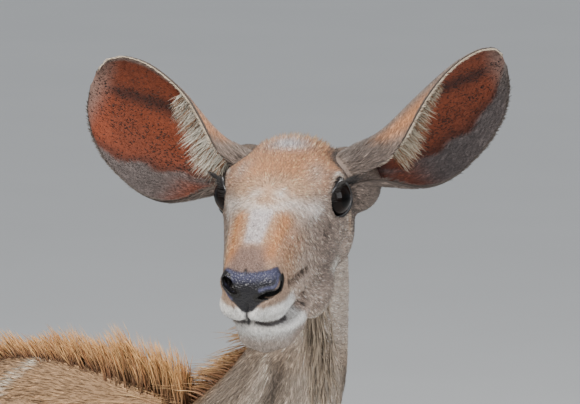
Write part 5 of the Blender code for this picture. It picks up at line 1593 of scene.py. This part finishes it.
def makeClaw(foot, outer, levels=14, sides=40):
    x0, y0 = legStations(foot)[-2][:2]
    lean = (1 if y0 > 0 else -1) * (1 if outer else -1)
    gap, width, toe, heelReach = hoof["gap"], hoof["width"], hoof["toe"], hoof["heel"]
    rings = []
    for k in range(levels + 1):
        up = k / levels
        ring = []
        for j in range(sides):
            a = 2 * math.pi * j / sides
            c, s = math.cos(a), math.sin(a)
            front = (toe * (1 - up) + 0.0215 * up) * (1 + 0.06 * up * (1 - up))
            back = heelReach * (1 - up) + 0.0215 * up
            x = (x0 + 0.006 * (1 - up)
                 + (front if c > 0 else back) * c * (1 - 0.012 * abs(math.sin(up * 26)) * (up > 0)))
            taper = 1 - 0.55 * max(c, 0) ** 2.2 * (1 - 0.7 * up)
            half = (width * (1 - up) + 0.0235 * up) / 2
            middle = gap / 2 + half + 0.0015 * (1 - up)
            y = y0 + lean * (middle + half * s * (taper if s > 0 else 0.55 + 0.45 * taper))
            ring.append((x, y, coronetZ(foot, x, 0.0003) * up))
        rings.append(ring)
    claw = ringsObject(f"claw_{foot}_{'outer' if outer else 'inner'}", rings)
    claw.data.transform(bodyMatrix)
    smoothed(claw)
    claw.data.set_sharp_from_angle(angle=math.radians(50))
    return claw


def makeDewclaw(foot, outer):
    stations = legStations(foot)
    centre, (wide, _, aft), _, left, top = stationFrame(stations, len(stations) - 3.75)
    lean = (1 if foot.endswith("left") else -1) * (1 if outer else -1)
    root = Vector(centre - top * aft * 0.60 + left * lean * wide * 0.42)
    tip = root - Vector(top) * 0.021 + Vector((0.0, 0.0, -0.016)) + Vector(left) * (lean * 0.004)
    axis = (tip - root).normalized()
    across = axis.orthogonal().normalized()
    other = axis.cross(across)
    rings = []
    for share, radius in ((-0.12, 0.0083), (0.3, 0.0083), (0.6, 0.0078), (0.82, 0.0062), (0.95, 0.0042),
                          (1.0, 0.0020)):
        spot = root.lerp(tip, share)
        rings.append([spot + (across * math.cos(a) + other * math.sin(a)) * radius
                      for a in (2 * math.pi * k / 20 for k in range(20))])
    claw = ringsObject(f"spur_{foot}_{'outer' if outer else 'inner'}", rings)
    claw.data.transform(bodyMatrix)
    smoothed(claw)
    return claw


# Finishes


def nodeGroup(name, inputs, outputs):
    group = bpy.data.node_groups.new(name, "ShaderNodeTree")
    for way, sockets in (("INPUT", inputs), ("OUTPUT", outputs)):
        for title, kind in sockets.items():
            group.interface.new_socket(name=title, in_out=way, socket_type="NodeSocket" + kind)
    return group, group.nodes.new("NodeGroupInput"), group.nodes.new("NodeGroupOutput")


def added(nodes, kind, values=(), operation=None):
    # a new node with its sockets set
    node = nodes.new("ShaderNode" + kind)
    if operation:
        node.operation = operation
    for title, value in dict(values).items():
        node.inputs[title].default_value = value
    return node


def shadeTone(group, start, end, factor, limits):
    # the group's tone made darker and lighter by a texture
    nodes, links = group.nodes, group.links
    shade = added(nodes, "MapRange", zip(("From Min", "From Max", "To Min", "To Max"), limits))
    links.new(factor, shade.inputs["Value"])
    mix = added(nodes, "VectorMath", operation="SCALE")
    links.new(start.outputs["Tone"], mix.inputs[0])
    links.new(shade.outputs["Result"], mix.inputs["Scale"])
    links.new(mix.outputs[0], end.inputs["Color"])


def hairStreaks():
    # fine lines along each blade, so that one reads as several hairs
    group, start, end = nodeGroup("hairStreaks", {"Tone": "Color", "Strand": "Vector"},
                                  {"Color": "Color", "Height": "Float"})
    nodes, links = group.nodes, group.links
    apart = added(nodes, "SeparateXYZ")
    links.new(start.outputs["Strand"], apart.inputs[0])
    offset = added(nodes, "Math", {1: 37.0}, "MULTIPLY_ADD")
    links.new(apart.outputs["Z"], offset.inputs[0])
    links.new(apart.outputs["X"], offset.inputs[2])
    place = added(nodes, "CombineXYZ")
    links.new(offset.outputs[0], place.inputs["X"])
    links.new(apart.outputs["Y"], place.inputs["Y"])
    noise = added(nodes, "TexNoise", {"Scale": 2.4, "Detail": 1.5})
    links.new(place.outputs[0], noise.inputs["Vector"])
    shadeTone(group, start, end, noise.outputs["Fac"], (0.30, 0.70, 0.66, 1.22))
    links.new(noise.outputs["Fac"], end.inputs["Height"])
    return group


def hideGrain():
    # pores and fine hair on the skin, and pebbles where it is bare and wet
    group, start, end = nodeGroup("hideGrain", {"Tone": "Color", "Wet": "Float"},
                                  {"Color": "Color", "Height": "Float", "Roughness": "Float"})
    nodes, links = group.nodes, group.links
    where = added(nodes, "TexCoord")
    grain = added(nodes, "TexNoise", {"Scale": 620.0, "Detail": 3.0})
    pebble = added(nodes, "TexVoronoi", {"Scale": 430.0})
    for texture in (grain, pebble):
        links.new(where.outputs["Object"], texture.inputs["Vector"])
    shadeTone(group, start, end, grain.outputs["Fac"], (0.3, 0.7, 0.72, 1.2))
    dome = added(nodes, "Math", {0: 1.0}, "SUBTRACT")
    links.new(pebble.outputs["Distance"], dome.inputs[1])
    height = added(nodes, "Mix")
    links.new(start.outputs["Wet"], height.inputs["Factor"])
    links.new(grain.outputs["Fac"], height.inputs["A"])
    links.new(dome.outputs[0], height.inputs["B"])
    links.new(height.outputs["Result"], end.inputs["Height"])
    rough = added(nodes, "MapRange", {"To Min": 0.78, "To Max": 0.40})
    links.new(start.outputs["Wet"], rough.inputs["Value"])
    links.new(rough.outputs["Result"], end.inputs["Roughness"])
    return group


def plainMaterial(name, **values):
    made = bpy.data.materials.new(name)
    made.use_nodes = True
    shader = made.node_tree.nodes["Principled BSDF"]
    for title, value in values.items():
        shader.inputs[title.replace("_", " ")].default_value = value
    return made, made.node_tree.nodes, made.node_tree.links, shader


def readAttribute(nodes, name, output):
    node = nodes.new("ShaderNodeAttribute")
    node.attribute_name = name
    return node.outputs[output]


def bumped(nodes, links, shader, height, strength, distance):
    bump = added(nodes, "Bump", {"Strength": strength, "Distance": distance})
    links.new(height, bump.inputs["Height"])
    links.new(bump.outputs["Normal"], shader.inputs["Normal"])


def furMaterial(name, effect, read, bump, **values):
    # a finish whose colour and bump come from a shared group that reads the mesh's attributes
    made, nodes, links, shader = plainMaterial(name, **values)
    group = nodes.new("ShaderNodeGroup")
    group.node_tree = effect
    for title, attributeName, output in read:
        links.new(readAttribute(nodes, attributeName, output), group.inputs[title])
    links.new(group.outputs["Color"], shader.inputs["Base Color"])
    if "Roughness" in group.outputs:
        links.new(group.outputs["Roughness"], shader.inputs["Roughness"])
    bumped(nodes, links, shader, group.outputs["Height"], *bump)
    return made


def eyeMaterial():
    made, nodes, links, shader = plainMaterial("wetEye", Roughness=0.03, IOR=1.30, Specular_IOR_Level=0.16)
    links.new(readAttribute(nodes, "tone", "Color"), shader.inputs["Base Color"])
    return made


def mottledMaterial(name, roughness, scale, low, high, detail=2.0, stretch=None, bump=None):
    # two colours mixed by noise that lies on the object
    made, nodes, links, shader = plainMaterial(name, Roughness=roughness)
    place = added(nodes, "TexCoord").outputs["Object"]
    if stretch:
        flat = added(nodes, "Mapping", {"Scale": stretch})
        links.new(place, flat.inputs["Vector"])
        place = flat.outputs[0]
    noise = added(nodes, "TexNoise", {"Scale": scale, "Detail": detail})
    links.new(place, noise.inputs["Vector"])
    mix = nodes.new("ShaderNodeMix")
    mix.data_type = "RGBA"
    mix.inputs["A"].default_value = (*low, 1)
    mix.inputs["B"].default_value = (*high, 1)
    links.new(noise.outputs["Fac"], mix.inputs["Factor"])
    links.new(mix.outputs["Result"], shader.inputs["Base Color"])
    if bump:
        bumped(nodes, links, shader, noise.outputs["Fac"], *bump)
    return made


def dressed(thing, material, slot, *nodes):
    thing.data.materials.clear()
    thing.data.materials.append(material)
    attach(thing, "root")
    if nodes:
        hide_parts(*nodes)


# Camera and light

shot = {"azimuth": 48.0, "elevation": 8.0, "distance": 7.0, "field": 0.64, "shift": (0.013, -0.010),
        "clip": 100}
lamps = {
    "aim": Vector((0.35, 0.0, 1.15)), "sky": (0.86, 0.90, 0.96, 1), "skyStrength": 0.56, "floor": 60,
    "keyLight": (16, 46, 4.5, 1.4, 430, (1.0, 0.965, 0.92)),
    "fillLight": (96, 20, 5.0, 2.5, 230, (0.95, 0.97, 1.0)),
    "backLight": (205, 50, 5.0, 2.0, 150, (1.0, 0.98, 0.95)),
}


def backFrom(azimuth, elevation):
    a, e = math.radians(azimuth), math.radians(elevation)
    return Vector((math.sin(a) * math.cos(e), -math.cos(a) * math.cos(e), math.sin(e)))


def aimed(back):
    # the object just added looks back along this way
    thing = bpy.context.object
    thing.rotation_euler = (-back).to_track_quat("-Z", "Y").to_euler()
    return thing


def makeCamera():
    middle = headMatrix @ Vector((pose["eyeCentre"].x, 0, pose["eyeCentre"].z))
    back = backFrom(shot["azimuth"], shot["elevation"])
    bpy.ops.object.camera_add(location=middle + back * shot["distance"])
    camera = aimed(back)
    camera.data.angle = 2 * math.atan(shot["field"] / 2 / shot["distance"])
    camera.data.shift_x, camera.data.shift_y = shot["shift"]
    camera.data.clip_end = shot["clip"]
    bpy.context.scene.camera = camera


def makeLight(name):
    azimuth, elevation, distance, size, power, tint = lamps[name]
    back = backFrom(azimuth, elevation)
    bpy.ops.object.light_add(type="AREA", location=lamps["aim"] + back * distance)
    lamp = aimed(back)
    lamp.name = name
    lamp.data.size, lamp.data.energy, lamp.data.color = size, power, tint


def makeStage():
    bpy.ops.mesh.primitive_plane_add(size=lamps["floor"])
    floor = bpy.context.object
    floor.name = "floor"
    floor.data.materials.append(mottledMaterial("paleFloor", 0.8, 2.0, (0.70, 0.70, 0.685),
                                                (0.75, 0.75, 0.735)))
    world = bpy.data.worlds.new("studio")
    bpy.context.scene.world = world
    world.use_nodes = True
    background = world.node_tree.nodes["Background"]
    background.inputs["Color"].default_value = lamps["sky"]
    background.inputs["Strength"].default_value = lamps["skyStrength"]
    for name in ("keyLight", "fillLight", "backLight"):
        makeLight(name)


# Making everything

makeCamera()
makeStage()
print("camera and light")

hide = furMaterial("hide", hideGrain(), [("Tone", "tone", "Color"), ("Wet", "wet", "Fac")], (0.8, 0.0010),
                   Roughness=0.75, Specular_IOR_Level=0.28)
hair = furMaterial("coatHair", hairStreaks(), [("Tone", "tone", "Color"), ("Strand", "strand", "Vector")],
                   (0.35, 0.0005), Roughness=0.62, Specular_IOR_Level=0.35)
wetEye = eyeMaterial()
lidSkin = mottledMaterial("lidSkin", 0.34, 900.0, paint(9, 8, 9), paint(22, 19, 20))
horn = mottledMaterial("hoofHorn", 0.42, 1.0, paint(30, 26, 24), paint(74, 63, 54), 3.0, (60, 60, 520),
                       (0.5, 0.0005))

skin = makeSkin()
skinPoints, skinNormals = pointsOf(skin), normalsOf(skin)
underTone = coatTone(skinPoints, skinNormals)
localPoints = toHead(skinPoints)
headShare = shares(toBody(skinPoints), localPoints)[0]
bare = np.zeros(len(skinPoints))
inHead = headShare > 0.5
bare[inHead] = bareness(skinPoints[inHead])
# painted shade: skin under the coat is darkened to 0.62 of the coat's tone, while bare skin keeps its full
# tone
attribute(skin.data, "tone", "FLOAT_COLOR", np.clip(underTone * (0.62 + 0.38 * bare)[:, None], 0, 1))
attribute(skin.data, "wet", "FLOAT", bare)
fleshNodes = ["head", "neck", "torso", "tail", "leg_fore_left", "leg_fore_right", "leg_hind_left",
              "leg_hind_right"]
dressed(skin, hide, "coat", *fleshNodes)
print("skin coloured")

tree = BVHTree.FromPolygons(skinPoints.tolist(), trianglesOf(skin).tolist())


def density(centre, normals):
    b, h = toBody(centre), toHead(centre)
    head, neck, tail, leg = shares(b, h)
    p = coatPlan
    many = np.full(len(b), float(p["trunkMany"]))
    many = blended(many, p["neckMany"], neck)
    many = blended(many, p["legMany"], np.maximum(leg, tail))
    many = blended(many, p["footMany"], ramp(0.20 - b[:, 2], 0, 0.06))
    many = blended(many, p["headMany"], head)
    many *= 1 - 0.6 * head * ramp(-h[:, 0], 0.05, 0.10)
    return many


spots, ways = scattered(skin, density, 17)
b, h = toBody(spots), toHead(spots)
head, neck, tail, leg = shares(b, h)
kind = np.where(neck > 0.5, np.where(b[:, 1] > neckLine[neckPlace(b)[2], 1], 4, 5), np.where(leg > 0.5, 8, 6))
kind = np.where((kind == 6) & (b[:, 0] < -0.36), 7, kind)
kind = np.where(head > 0.5, np.where(h[:, 1] > 0, 0, 1) + np.where(h[:, 0] > 0.045, 0, 2), kind)
names = ["coatFaceLeft", "coatFaceRight", "coatPollLeft", "coatPollRight", "coatNeckLeft", "coatNeckRight",
         "coatChest", "coatRump", "coatLegs"]
for k, name in enumerate(names):
    piece = coatPiece(name, tree, spots[kind == k], ways[kind == k], 100 + k)
    dressed(piece, hair, "coat")
for piece in [napeHair(tree), crestHair(tree), throatHair(tree)] + tailHair(tree):
    dressed(piece, hair, "coat")
print("coat laid")

for side, word in ((1, "left"), (-1, "right")):
    dressed(earBody(side), hide, "ear", "ear_" + word)
    for piece in earFur(side):
        dressed(piece, hair, "ear")
    dressed(makeEye(side), wetEye, "eye", "eye_" + word)
    dressed(lidRim(side), lidSkin, "coat")
    dressed(lashes(side), hair, "coat")
print("ears and eyes set")

for foot in steps:
    for outer, word in ((True, "outer"), (False, "inner")):
        dressed(makeClaw(foot, outer), horn, "hoof", f"hoof_{foot}_{word}")
        dressed(makeDewclaw(foot, outer), horn, "hoof", f"dewclaw_{foot}_{word}")
print("feet set")
